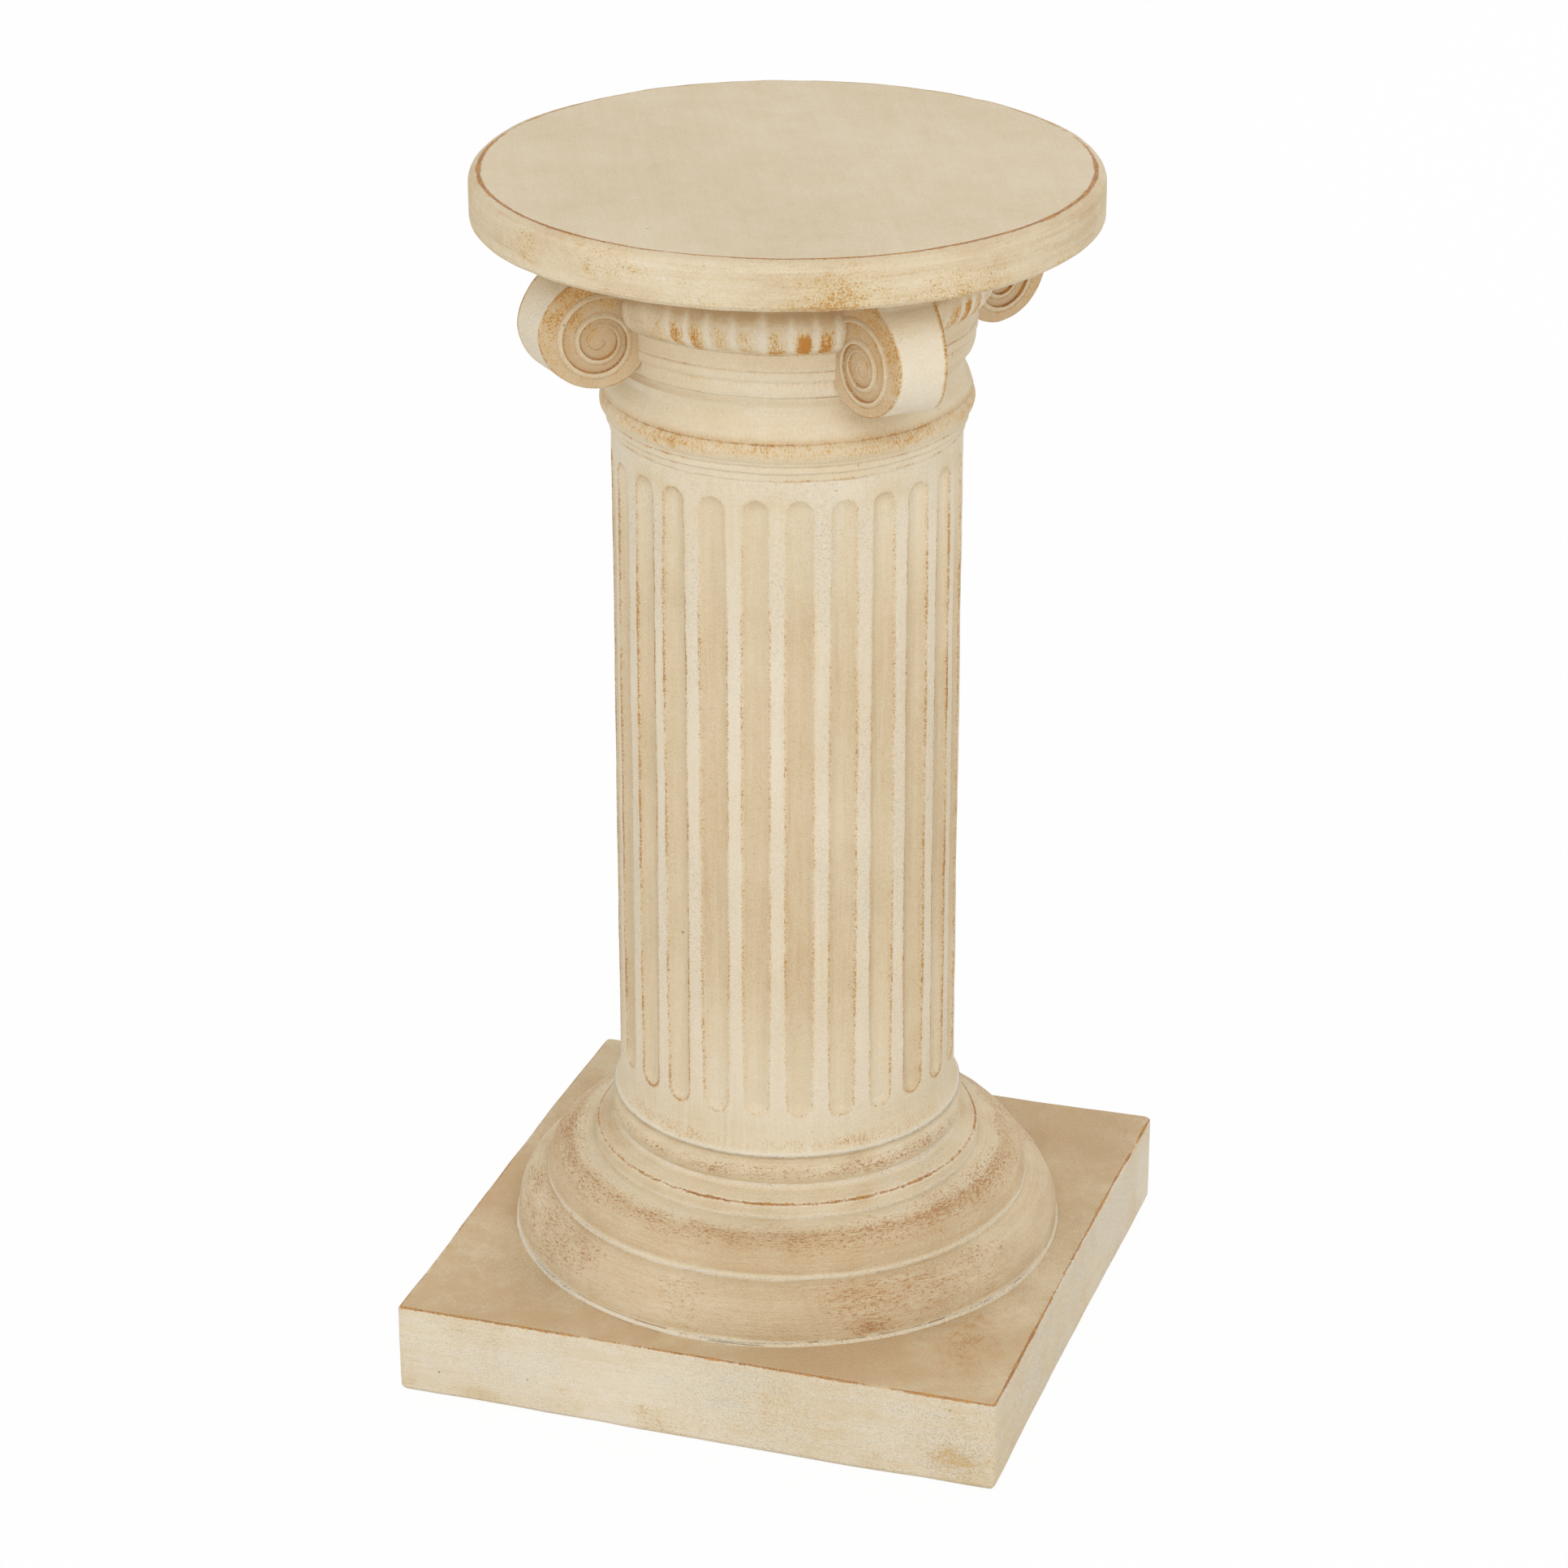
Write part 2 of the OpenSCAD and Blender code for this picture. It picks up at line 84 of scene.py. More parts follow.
SLAB_R = radius_of("top_slab")

# Radii of the holes down the column and of the recess under the slab
PLINTH_HOLE = 94.3 * MM
LOWER_BORE = 85 * MM
UPPER_BORE = 75.7 * MM
COLLAR_BORE = 58.7 * MM
SHAFT_BORE = SHAFT_R - 17 * MM
BELL_BORE = 49.4 * MM
SLAB_RECESS = 95.3 * MM


# Smooth unevenness of a hand-cast surface; lengths are in mm

def waves(points, length, count, seed):
    """Sum of waves of about one length, in random directions"""
    random = np.random.default_rng(seed)
    total = np.zeros(points.shape[:-1])
    for _ in range(count):
        direction = random.normal(size=3)
        direction *= TURN / (length * MM * random.uniform(0.7, 1.5) * np.linalg.norm(direction))
        total += np.sin(points @ direction + random.uniform(0, TURN))
    return total / math.sqrt(count)


def patches(points, middle, spread, length, count, seed):
    """Waves about a middle value, kept between 0 and 1"""
    return np.clip(middle + spread * waves(points, length, count, seed), 0, 1)


def lumps(points, seed, *layers):
    """Layers of waves, each with its length, count and weight"""
    return sum(
        waves(points, length, count, seed + i) * weight for i, (length, count, weight) in enumerate(layers)
    )


def smooth_step(low, high, value):
    t = np.clip((value - low) / (high - low), 0, 1)
    return t * t * (3 - 2 * t)


def bump_at(value, middle, width):
    """1 at the middle, falling to 0 over the width on both sides"""
    return np.exp(-((value - middle) / width) ** 2)


def spot(points, middle, size):
    """1 at a place, falling to 0 over a size in mm on each axis"""
    return np.exp(-(((points - middle) / (np.array(size) * MM)) ** 2).sum(-1))


# Outlines: corners [across, up, round] become a dense path with rounded corners

ROUNDING_STEPS = 5


def corners_at(across, up, *rows):
    """Corners given in mm from a radius and a height, each with its rounding"""
    return [(across + out * MM, up + rise * MM, round_r * MM) for out, rise, round_r in rows]


def arc(across, up, half_w, half_h, start, end, count):
    angles = np.radians(np.linspace(start, end, count))
    return [(across + half_w * math.cos(a), up + half_h * math.sin(a), 0) for a in angles]


def outline(corners, step):
    path = []
    last = len(corners) - 1
    for i, (across, up, radius) in enumerate(corners):
        here = np.array([across, up])
        if radius == 0 or i in (0, last):
            path.append(here)
            continue
        before = np.array(corners[i - 1][:2]) - here
        after = np.array(corners[i + 1][:2]) - here
        len_before, len_after = np.linalg.norm(before), np.linalg.norm(after)
        before, after = before / len_before, after / len_after
        half = math.acos(np.clip(before @ after, -1, 1)) / 2
        reach = min(radius / math.tan(half), 0.48 * len_before, 0.48 * len_after)
        start, end = here + before * reach, here + after * reach
        for k in range(ROUNDING_STEPS + 1):
            t = k / ROUNDING_STEPS
            path.append((1 - t) ** 2 * start + 2 * t * (1 - t) * here + t * t * end)
    dense = [path[0]]
    for a, b in zip(path, path[1:]):
        count = max(1, int(np.linalg.norm(b - a) / step))
        dense += [a + (b - a) * k / count for k in range(1, count + 1)]
    return dense


# Grids of points become meshes that carry how convex or hollow each point is

# Bends in 1/m at which a hollow starts to hold glaze and is full of it
GLAZE_START, GLAZE_FULL = 60, 420


def around(count):
    return np.linspace(0, TURN, count, endpoint=False)


def revolve(r, z, angle):
    """Points at radius r and height z, turned to each angle"""
    return np.stack(np.broadcast_arrays(r * np.cos(angle), r * np.sin(angle), z), -1)


def grid_normals(p, closed_rows):
    across = np.roll(p, -1, 1) - np.roll(p, 1, 1)
    along = np.roll(p, -1, 0) - np.roll(p, 1, 0)
    if not closed_rows:
        along[0], along[-1] = p[1] - p[0], p[-1] - p[-2]
    normal = np.cross(across, along)
    return normal / np.maximum(np.linalg.norm(normal, axis=-1, keepdims=True), 1e-12)


def push_out(p, closed_rows, height):
    """Moves every point of a grid along its normal, in place"""
    p += grid_normals(p, closed_rows) * height[..., None]


def grid_bend(p, closed_rows):
    """Mean of the bends along the rows and columns, in 1/m: positive on an edge, negative in a hollow"""
    normal = grid_normals(p, closed_rows)
    total = np.zeros(p.shape[:2])
    for axis in (0, 1):
        step = np.roll(p, -1, axis) - p
        turn = np.roll(normal, -1, axis) - normal
        bend = (step * turn).sum(-1) / np.maximum((step * step).sum(-1), 1e-9)
        if axis == 0 and not closed_rows:
            bend[-1] = 0
        total += (bend + np.roll(bend, 1, axis)) / 2
    return total


def blur(values, times):
    for _ in range(times):
        values = (
            2 * values + np.roll(values, 1, 0) + np.roll(values, -1, 0)
            + np.roll(values, 1, 1) + np.roll(values, -1, 1)
        ) / 6
    return values


def add_object(name, data):
    thing = bpy.data.objects.new(name, data)
    bpy.context.scene.collection.objects.link(thing)
    return thing


def grid_object(name, p, fields, hollow=0.5, closed_rows=True, closed_columns=True, brush=None):
    """A grid of points as one smooth mesh; fields and brush are what the paint reads at each point"""
    rows, columns = p.shape[:2]
    mesh = bpy.data.meshes.new(name)
    index = np.arange(rows * columns).reshape(rows, columns)
    here = index if closed_rows else index[:-1]
    above = np.roll(index, -1, 0) if closed_rows else index[1:]
    if closed_columns:
        right, above_right = np.roll(here, -1, 1), np.roll(above, -1, 1)
    else:
        right, above_right = here[:, 1:], above[:, 1:]
        here, above = here[:, :-1], above[:, :-1]
    faces = np.stack([here, right, above_right, above], -1).reshape(-1, 4)
    mesh.from_pydata(p.reshape(-1, 3).tolist(), [], faces.tolist())
    mesh.polygons.foreach_set("use_smooth", [True] * len(mesh.polygons))
    recess = hollow * blur(smooth_step(GLAZE_START, GLAZE_FULL, -grid_bend(p, closed_rows)), 2)
    # The glaze of the hollows joins what the fields give: more glaze, and painted shade
    fields = {**fields, "glaze_and_shade": np.maximum(recess, fields.get("glaze_and_shade", 0))}

    def store(key, kind, slot, values):
        attribute = mesh.attributes.new(key, kind, "POINT")
        attribute.data.foreach_set(slot, np.ascontiguousarray(values, np.float32).ravel())

    for key in ("tone", "glaze_and_shade", "rub", "line"):
        store(key, "FLOAT", "value", np.broadcast_to(fields.get(key, 0), (rows, columns)))
    store("brush", "FLOAT_VECTOR", "vector", p if brush is None else brush)
    mesh.update()
    return add_object(name, mesh)


# Turned pieces store their brush coordinates on a ring of this radius, and place their marks on a
# smaller one, whatever the radius of the piece
BRUSH_R = 100 * MM
MARK_SHARE = 0.6


def ring_brush(path, angle):
    """Brush coordinates of a turned surface: around it at a fixed radius, and along its outline"""
    length = np.concatenate([[0], np.cumsum(np.linalg.norm(np.diff(path, axis=0), axis=1))])
    return revolve(BRUSH_R, length[:, None], angle)


def dress(piece, material, slot, *nodes):
    piece.data.materials.append(material)
    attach(piece, BODY)
    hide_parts(*nodes)


# Paint: an antique cream wash over an ochre undercoat

class Nodes:
    """Short calls for the nodes of a material or of the world"""

    def __init__(self, tree):
        self.tree = tree

    def feed(self, socket, value):
        """Links a socket or sets a constant; a colour is three numbers"""
        if isinstance(value, bpy.types.NodeSocket):
            self.tree.links.new(value, socket)
        else:
            socket.default_value = (*value, 1) if socket.type == "RGBA" else value

    def fill(self, node, inputs):
        for key, value in inputs.items():
            self.feed(node.inputs[key], value)
        return node

    def add(self, kind, inputs=None, **settings):
        node = self.tree.nodes.new(kind)
        for key, value in settings.items():
            setattr(node, key, value)
        return self.fill(node, inputs or {})

    def math(self, operation, a, b=0):
        return self.add("ShaderNodeMath", {0: a, 1: b}, operation=operation).outputs[0]

    def times(self, a, b):
        return self.math("MULTIPLY", a, b)

    def seen(self):
        """1 for what the camera sees, directly, mirrored or through a clear body, and else 0"""
        path = self.add("ShaderNodeLightPath").outputs
        seen = self.math("MAXIMUM", path["Is Camera Ray"], path["Is Glossy Ray"])
        return self.math("MAXIMUM", seen, path["Is Transmission Ray"])

    def output(self, name, share, first, second):
        """Mixes two shaders and makes them the surface"""
        blend = self.add("ShaderNodeMixShader", {0: share, 1: first.outputs[0], 2: second.outputs[0]})
        self.fill(self.tree.nodes[name], {"Surface": blend.outputs[0]})


class Paint(Nodes):
    """A node material, with short calls for the nodes that the paints share"""

    def __init__(self, name):
        self.material = bpy.data.materials.new(name)
        self.material.use_nodes = True
        super().__init__(self.material.node_tree)
        self.shader = self.tree.nodes["Principled BSDF"]
        self.place = self.add("ShaderNodeTexCoord").outputs["Object"]

    def total(self, first, *terms):
        """first plus each (noise, weight), a noise counted from its middle"""
        for noise, weight in terms:
            part = self.times(self.math("SUBTRACT", noise, 0.5), weight)
            first = self.math("ADD", first, part)
        return first

    def attribute(self, name):
        return self.add("ShaderNodeAttribute", attribute_name=name).outputs["Fac"]

    def mapped(self, place, **settings):
        return self.add("ShaderNodeMapping", {"Vector": place, **settings}).outputs[0]

    def stretched(self, scale, turn=0):
        place = self.add("ShaderNodeAttribute", attribute_name="brush").outputs["Vector"]
        if turn:
            place = self.mapped(place, Rotation=(0, 0, turn))
        return self.mapped(place, Scale=scale)

    def noise(self, scale, detail=3, rough=0.55, vector=None):
        return self.add("ShaderNodeTexNoise", {
            "Vector": vector or self.place, "Scale": scale, "Detail": detail, "Roughness": rough,
        }).outputs["Fac"]

    def step(self, value, low, high, out_low=0, out_high=1):
        return self.add("ShaderNodeMapRange", {
            "Value": value, "From Min": low, "From Max": high, "To Min": out_low, "To Max": out_high,
        }, interpolation_type="SMOOTHSTEP").outputs[0]

    def mix(self, factor, a, b):
        """Mixes two colours, whose sockets are numbers 6 and 7 of the node"""
        return self.add("ShaderNodeMix", {0: factor, 6: a, 7: b}, data_type="RGBA").outputs[2]

    def dots(self, scale, share, radius):
        """Round spots in the given share of the cells of a Voronoi pattern"""
        cells = self.add("ShaderNodeTexVoronoi", {"Vector": self.place, "Scale": scale})
        pick = self.add("ShaderNodeSeparateColor", {"Color": cells.outputs["Color"]}).outputs
        chosen = self.step(pick[0], 1 - share, 1 - share + 0.01)
        return self.times(chosen, self.step(cells.outputs["Distance"], self.times(pick[1], radius), 0))

    def bump(self, height, strength, distance):
        inputs = {"Height": height, "Strength": strength, "Distance": distance}
        return self.add("ShaderNodeBump", inputs).outputs[0]


PALE = (0.775, 0.692, 0.550)
CREAM = (0.678, 0.560, 0.378)
TAN = (0.576, 0.408, 0.233)
GLAZE_AND_SHADE = (0.400, 0.245, 0.115)
YELLOW = (0.630, 0.385, 0.120)
ORANGE = (0.500, 0.200, 0.025)
AMBER = (0.500, 0.245, 0.065)
BROWN = (0.340, 0.140, 0.040)
CARAMEL = (0.575, 0.350, 0.135)
TOFFEE = (0.450, 0.220, 0.065)
ROSE = (0.560, 0.338, 0.168)
UMBER = (0.440, 0.208, 0.080)
STRAW = (0.640, 0.480, 0.270)
OCHRE = (0.590, 0.370, 0.130)
GOLD = (0.610, 0.412, 0.150)
RUST = (0.500, 0.230, 0.040)
SILT = (0.500, 0.360, 0.190)
PIT = (0.150, 0.090, 0.045)


def cast_paint(
    name, streak, fine_streak, marks=(1100, 1100, 1100), turn=0, streaks=1, mottle=1,
    under=(YELLOW, ORANGE), cover=1, grain=1, fine=1, ink=(BROWN, AMBER)
):
    """The wash on one casting; streak and fine_streak say how fast its brush marks vary on each axis"""
    p = Paint(name)
    broad = p.noise(8, 3)
    patchy = p.noise(38, 4, 0.6)
    middling = p.noise(170, 3, 0.6)
    crackle = p.noise(1, 2, 0.6, p.stretched(marks))
    stipple = p.noise(1000, 1, 0.5)
    grit = p.noise(2600, 2, 0.7)
    brushed = p.noise(1, 4, 0.6, p.stretched(streak, turn))
    combed = p.noise(1, 3, 0.6, p.stretched(fine_streak, turn))

    # The wash, from pale where it was wiped to tan where it was left; the same tone also carries painted
    # shade and painted highlights
    depth = p.total(
        p.attribute("tone"), (broad, 0.6 * mottle), (patchy, 0.6 * mottle), (middling, 0.45 * mottle),
        (brushed, 1.1 * streaks), (combed, 0.8 * streaks), (crackle, 0.6), (stipple, 0.6), (grit, 0.6),
    )
    colour = p.mix(p.step(depth, -0.15, 0.55), PALE, CREAM)
    colour = p.mix(p.step(depth, 0.4, 1.1), colour, TAN)

    relief = p.times(p.step(depth, 0.6, 0, 0.6, 1), p.step(broad, 0.35, 0.65, 0.45, 1.2))
    pores = p.times(p.step(stipple, 0.5, 0.25), p.times(relief, 0.3 * grain))
    colour = p.mix(pores, colour, SILT)

    # The glaze that stayed in hollows, and painted shade under the slab and beside the volutes, in one
    # darker colour
    hollow = p.attribute("glaze_and_shade")
    glaze_and_shade_amount = p.times(hollow, p.step(p.total(0.5, (patchy, 1.6), (crackle, 0.8)), 0.1, 0.8, 0.45, 1))
    colour = p.mix(p.step(glaze_and_shade_amount, 0, 1, 0, 0.9), colour, GLAZE_AND_SHADE)

    # The undercoat, rubbed through in broken marks: first the lighter colour, then the darker one
    rub = p.attribute("rub")
    bare = p.total(
        rub, (crackle, 1.7 * fine), (stipple, 0.9 * fine), (patchy, 0.9 / fine), (middling, 0.9 / fine),
        (combed, 0.5 * streaks),
    )
    bare = p.times(bare, p.step(rub, 0.02, 0.16))
    faint = p.step(bare, 0.16, 0.62)
    strong = p.step(bare, 0.52, 0.95)
    colour = p.mix(p.times(faint, 0.62 * cover), colour, under[0])
    colour = p.mix(p.times(strong, 0.92 * cover), colour, under[1])

    # Thin worn lines along the edges
    line = p.attribute("line")
    broken = p.total(line, (middling, 1.5), (patchy, 1), (crackle, 0.9), (stipple, 0.5))
    sharp = p.times(p.step(broken, 0.2, 0.75), p.step(line, 0.02, 0.25))
    colour = p.mix(p.times(sharp, 0.9), colour, p.mix(p.step(middling, 0.46, 0.62), *ink))

    # Pits, big and small
    pits = p.math("MAXIMUM", p.dots(105, 0.12, 0.11), p.times(p.dots(420, 0.16, 0.17), 0.7))
    colour = p.mix(p.times(pits, 0.75), colour, PIT)

    height = p.total(0.5, (stipple, 1), (crackle, 0.5), (grit, 0.3), (combed, 0.3))
    height = p.total(p.times(height, relief), (patchy, 0.8))
    height = p.math("SUBTRACT", height, p.times(strong, 0.25))
    height = p.math("SUBTRACT", height, p.times(pits, 0.9))
    p.fill(p.shader, {
        "Base Color": colour,
        "Roughness": p.step(p.total(0.5, (patchy, 1), (grit, 0.8)), 0, 1, 0.6, 0.8),
        "Specular IOR Level": 0.28,
        "Normal": p.bump(height, 0.75, 0.0009 * grain),
    })
    return p.material


def plain_paint(name, colours, scale, rough, metal=0, grain=(1, 1, 1)):
    """Wood, steel and felt of the hidden pieces: two colours mixed by a stretched noise"""
    p = Paint(name)
    place = p.mapped(p.place, Scale=grain)
    mottle = p.noise(scale, 5, 0.6, place)
    fine = p.noise(scale * 7, 4, 0.7, place)
    blended = p.math("ADD", p.times(mottle, 0.65), p.times(fine, 0.35))
    p.fill(p.shader, {
        "Base Color": p.mix(p.step(blended, 0.35, 0.65), *colours),
        "Roughness": p.step(fine, 0.2, 0.8, rough - 0.08, rough + 0.08),
        "Metallic": metal,
        "Normal": p.bump(fine, 0.4, 0.0004),
    })
    return p.material


# Rates per metre on each axis: strokes that run round a piece, coarse and fine, and short upright ticks
LEVEL = (16, 16, 260), (30, 30, 1100)
TICKS = (1300, 1300, 450)
slab_paint = cast_paint(
    "slab paint", *LEVEL, (900, 900, 1100), streaks=0.8, under=(GOLD, RUST), cover=0.85, grain=1.2,
    fine=1.25, ink=(AMBER, GOLD)
)
slab_top_paint = cast_paint(
    "slab top paint", (9, 150, 150), (16, 700, 700), turn=1.15, streaks=0.28, mottle=0.6
)
column_paint = cast_paint("column paint", *LEVEL, TICKS, streaks=0.25, mottle=0.5, cover=0.85)
shaft_paint = cast_paint(
    "shaft paint", (200, 200, 11), (650, 650, 26), (1500, 1500, 900), streaks=0.45, mottle=0.45,
    under=(CARAMEL, TOFFEE), cover=0.85, grain=1.3, fine=1.2
)
base_paint = cast_paint(
    "base paint", *LEVEL, (420, 420, 1700), streaks=0.6, mottle=0.5, under=(ROSE, UMBER), cover=0.85,
    grain=1.6, fine=1.7
)
plinth_paint = cast_paint(
    "plinth paint", (10, 10, 150), (26, 26, 1000), (800, 800, 1200), streaks=1.1,
    under=(STRAW, OCHRE), cover=0.7, grain=1.5, fine=1.2
)
echinus_paint = cast_paint("echinus paint", (90, 90, 60), (240, 240, 700), TICKS, streaks=0.6)
volute_paint = cast_paint(
    "volute paint", (40, 40, 40), (120, 120, 120), streaks=0.4, mottle=0.7, grain=1.15, fine=1.2
)


# Turned castings

# What the two rolls of the base have in common: coarser and more uneven than the other rings
ROLL = {"step": 0.7 * MM, "amount": 0.45 * MM, "hollow": 0.2}


def turned(name, corners, bore, marks, columns=400, step=0.5 * MM, amount=0.34 * MM, seed=13, hollow=0.25):
    """A ring: the outer outline, dense and rounded, then the plain bore back to its start"""
    outer = np.array(outline(corners, step))
    back = [(*outer[-1], 0), (bore, corners[-1][1], 0), (bore, corners[0][1], 0), (*outer[0], 0)]
    inner = np.array(outline(back, 8 * MM))[1:-1]
    path = np.concatenate([outer, inner])
    across, up = path[:, :1], path[:, 1:]
    angle = around(columns)
    p = revolve(across, up, angle)
    fade = np.ones((len(path), 1))
    fade[:3], fade[len(outer) - 3:] = 0, 0
    push_out(p, True, lumps(p, seed, (60, 14, 0.6), (18, 18, 0.4)) * amount * fade)
    brush = ring_brush(path, angle)
    fields = marks(across, up, brush * (MARK_SHARE, MARK_SHARE, 1))
    return grid_object(name, p, fields, hollow, brush=brush)


# Angle, seen from above, of the side where the rolls are most worn and the slab's worn lip is thinnest
WORN_SIDE = math.radians(-78)


def facing(p):
    """1 on the most worn side of a ring of marks, -1 on the far side"""
    return p @ (revolve(1, 0, WORN_SIDE) / (MARK_SHARE * BRUSH_R))


def lower_roll():
    bulge = 17 * MM
    widest = PLINTH_TOP + 4 * MM
    corners = [
        *corners_at(LOWER_R - 0.2 * MM, PLINTH_TOP, (0, -1.2, 0), (0, 0.4, 0.4), (-1.1, 1.7, 0.6)),
        *arc(LOWER_R - bulge - 1.4 * MM, widest, bulge, LOWER_TOP - widest - 0.2 * MM, -6, 88, 30),
        (LOWER_R - bulge - 4 * MM, LOWER_TOP, 0),
    ]

    def marks(across, up, p):
        over = (up - PLINTH_TOP) / MM
        crest = bump_at(across, LOWER_R - 8 * MM, 9 * MM)
        worn = 0.08 + 0.08 * facing(p) + 0.09 * waves(p, 70, 10, 31) + 0.08 * waves(p, 18, 10, 32)
        from_knock = np.arctan2(p[..., 1], p[..., 0]) - math.radians(-55)
        knock = bump_at(from_knock, 0, 0.05) * bump_at(over, 7, 3)
        # The foot of the roll is painted pale: a painted highlight where the lip catches the light, with
        # worn wash
        lip = smooth_step(4.5 + 1.5 * waves(p, 90, 10, 34), 1, over)
        return {
            "tone": 0.66 - 0.62 * lip + 0.08 * waves(p, 70, 10, 33) + 0.05 * waves(p, 16, 10, 35),
            "rub": (crest * np.clip(worn, 0, 1) + 0.7 * knock) * (1 - lip),
        }

    piece = turned("lower_roll", corners, LOWER_BORE, marks, columns=440, seed=3, **ROLL)
    dress(piece, base_paint, "base_casting", "lower_torus")


def upper_roll():
    ledge = 1 * MM
    wide = UPPER_R - RING_R + 0.6 * MM
    corners = [
        (UPPER_R - 0.2 * MM, LOWER_TOP - 1.4 * MM, 0), (UPPER_R - 0.1 * MM, LOWER_TOP + ledge, 0.9 * MM),
        *arc(RING_R - 1 * MM, LOWER_TOP + ledge, wide, UPPER_TOP - LOWER_TOP - ledge, 6, 82, 30),
        *corners_at(RING_R, UPPER_TOP, (-0.9, -0.1, 0), (-8, -0.1, 0)),
    ]

    def marks(across, up, p):
        over, under = (up - LOWER_TOP) / MM, (UPPER_TOP - up) / MM
        crest = bump_at(across, RING_R + 11 * MM, 9 * MM)
        worn = 0.36 + 0.15 * facing(p) + 0.13 * waves(p, 70, 10, 37) + 0.09 * waves(p, 16, 10, 38)
        # The ledge at the foot and the edge under the ring are painted pale: painted highlights, with worn
        # wash
        lip = np.maximum(smooth_step(4, 1.2, over), 0.6 * smooth_step(3, 1, under))
        return {
            "tone": 0.84 - 0.75 * lip + 0.08 * waves(p, 60, 10, 39) + 0.05 * waves(p, 15, 10, 36),
            "rub": crest * np.clip(worn, 0, 1) * (1 - lip),
        }

    piece = turned("upper_roll", corners, UPPER_BORE, marks, columns=420, seed=7, **ROLL)
    dress(piece, base_paint, "base_casting", "upper_torus")


def base_ring():
    ring_r = RING_R - 0.3 * MM
    ring_top = UPPER_TOP + 8.3 * MM
    bead_z = COLLAR_TOP - 9 * MM
    corners = [
        *corners_at(ring_r, UPPER_TOP, (-0.2, -2, 0), (0, -1, 0.8), (0, 1.6, 1.4)),
        *corners_at(ring_r, ring_top, (-0.4, -1.8, 1.2), (-2.6, 0, 1.6)),
        *corners_at(SHAFT_R, ring_top, (4.4, 2.6, 1.6), (2.6, 4.4, 1)),
        *arc(SHAFT_R - 2.9 * MM, bead_z, 7.4 * MM, 8.8 * MM, -48, 54, 24),
        *corners_at(FOOT_R, COLLAR_TOP, (-1.5, -0.9, 0.5), (-0.9, 0.2, 0)),
        (SHAFT_R - 6 * MM, COLLAR_TOP + 0.2 * MM, 0),
    ]

    def marks(across, up, p):
        over = (up - ring_top) / MM
        edge = bump_at(over, -0.9, 0.5) * smooth_step(ring_r - 4 * MM, ring_r - 2 * MM, across)
        uneven = patches(p, 0.6, 0.26, 60, 10, 43)
        crown = bump_at(up, bead_z, 4 * MM)
        # Two pale lines, at the step under the bead and at the ring's foot: painted highlights, with worn
        # wash
        lips = bump_at(over, 4.6, 0.9) + bump_at(up, UPPER_TOP + 0.8 * MM, 1.1 * MM)
        return {
            "tone": 0.52 + 0.14 * waves(p, 60, 10, 44) + 0.08 * waves(p, 15, 10, 45) - 0.5 * lips,
            "rub": 0.8 * edge * uneven + 0.46 * crown * uneven,
            "line": 0.9 * edge * uneven,
        }

    piece = turned("ring_and_bead", corners, COLLAR_BORE, marks, amount=0.3 * MM)
    dress(piece, base_paint, "base_casting", "base_collar")


def near_corner(p, degrees):
    """1 on the four diagonals, where the volutes sit, falling to 0 over the given angle"""
    quarter = TURN / 4
    away = (np.arctan2(p[..., 1], p[..., 0]) % quarter) - quarter / 2
    return bump_at(away, 0, math.radians(degrees))


def neck():
    bead_z = SHAFT_TOP + 13.9 * MM
    crest = SHAFT_R + 5.3 * MM
    corners = [
        *corners_at(
            SHAFT_R, SHAFT_TOP, (-0.6, -1.6, 0), (0.7, 0, 0.8), (1, 3.3, 0.9), (2.2, 4.4, 1),
            (2.4, 6.2, 0.9), (1.9, 7.2, 0.6), (3.3, 8.5, 0.8)
        ),
        *arc(crest - 5.2 * MM, bead_z, 5.2 * MM, 5.6 * MM, -50, 55, 18),
        (crest - 1.2 * MM, SHAFT_TOP + 19.4 * MM, 0.6 * MM),
        *corners_at(SHAFT_R, SHAFT_TOP, (2.4, 25, 3), (-0.5, 31.6, 5)),
        *corners_at(WAIST_R, BELL_BOTTOM, (1, 0.3, 0), (-4, 0.3, 0)),
    ]

    def marks(across, up, p):
        over, over_bead = (up - SHAFT_TOP) / MM, (up - bead_z) / MM
        uneven = patches(p, 0.68, 0.24, 50, 12, 41)
        crown = bump_at(over_bead, 1.6, 4.2)
        edge = bump_at(over_bead, 5, 0.7)
        steps = 0.8 * bump_at(over, 7.3, 0.5) + 0.6 * bump_at(over, 3.5, 0.6) + bump_at(over, 0.2, 0.6)
        cove = smooth_step(23, 19, over) * smooth_step(4, 6, over_bead)
        # Beside each volute the neck above the bead is painted darker in tone: painted shadow of the volute,
        # with glaze
        shadow_and_glaze = smooth_step(5, 9, over_bead) * near_corner(p, 17) * patches(p, 0.5, 0.5, 30, 12, 48)
        return {
            "tone": 0.45 * shadow_and_glaze + 0.26 + 0.14 * waves(p, 60, 10, 42) + 0.55 * cove
            + 0.25 * bump_at(over_bead, 0, 5),
            "rub": 0.58 * crown * uneven + 0.3 * edge + 0.26 * steps * uneven,
            "line": 0.74 * edge * uneven + 0.5 * steps * uneven,
            "glaze_and_shade": 0.15 * steps,
        }

    piece = turned("neck_rings", corners, COLLAR_BORE, marks)
    dress(piece, column_paint, "capital_casting", "neck_collar")


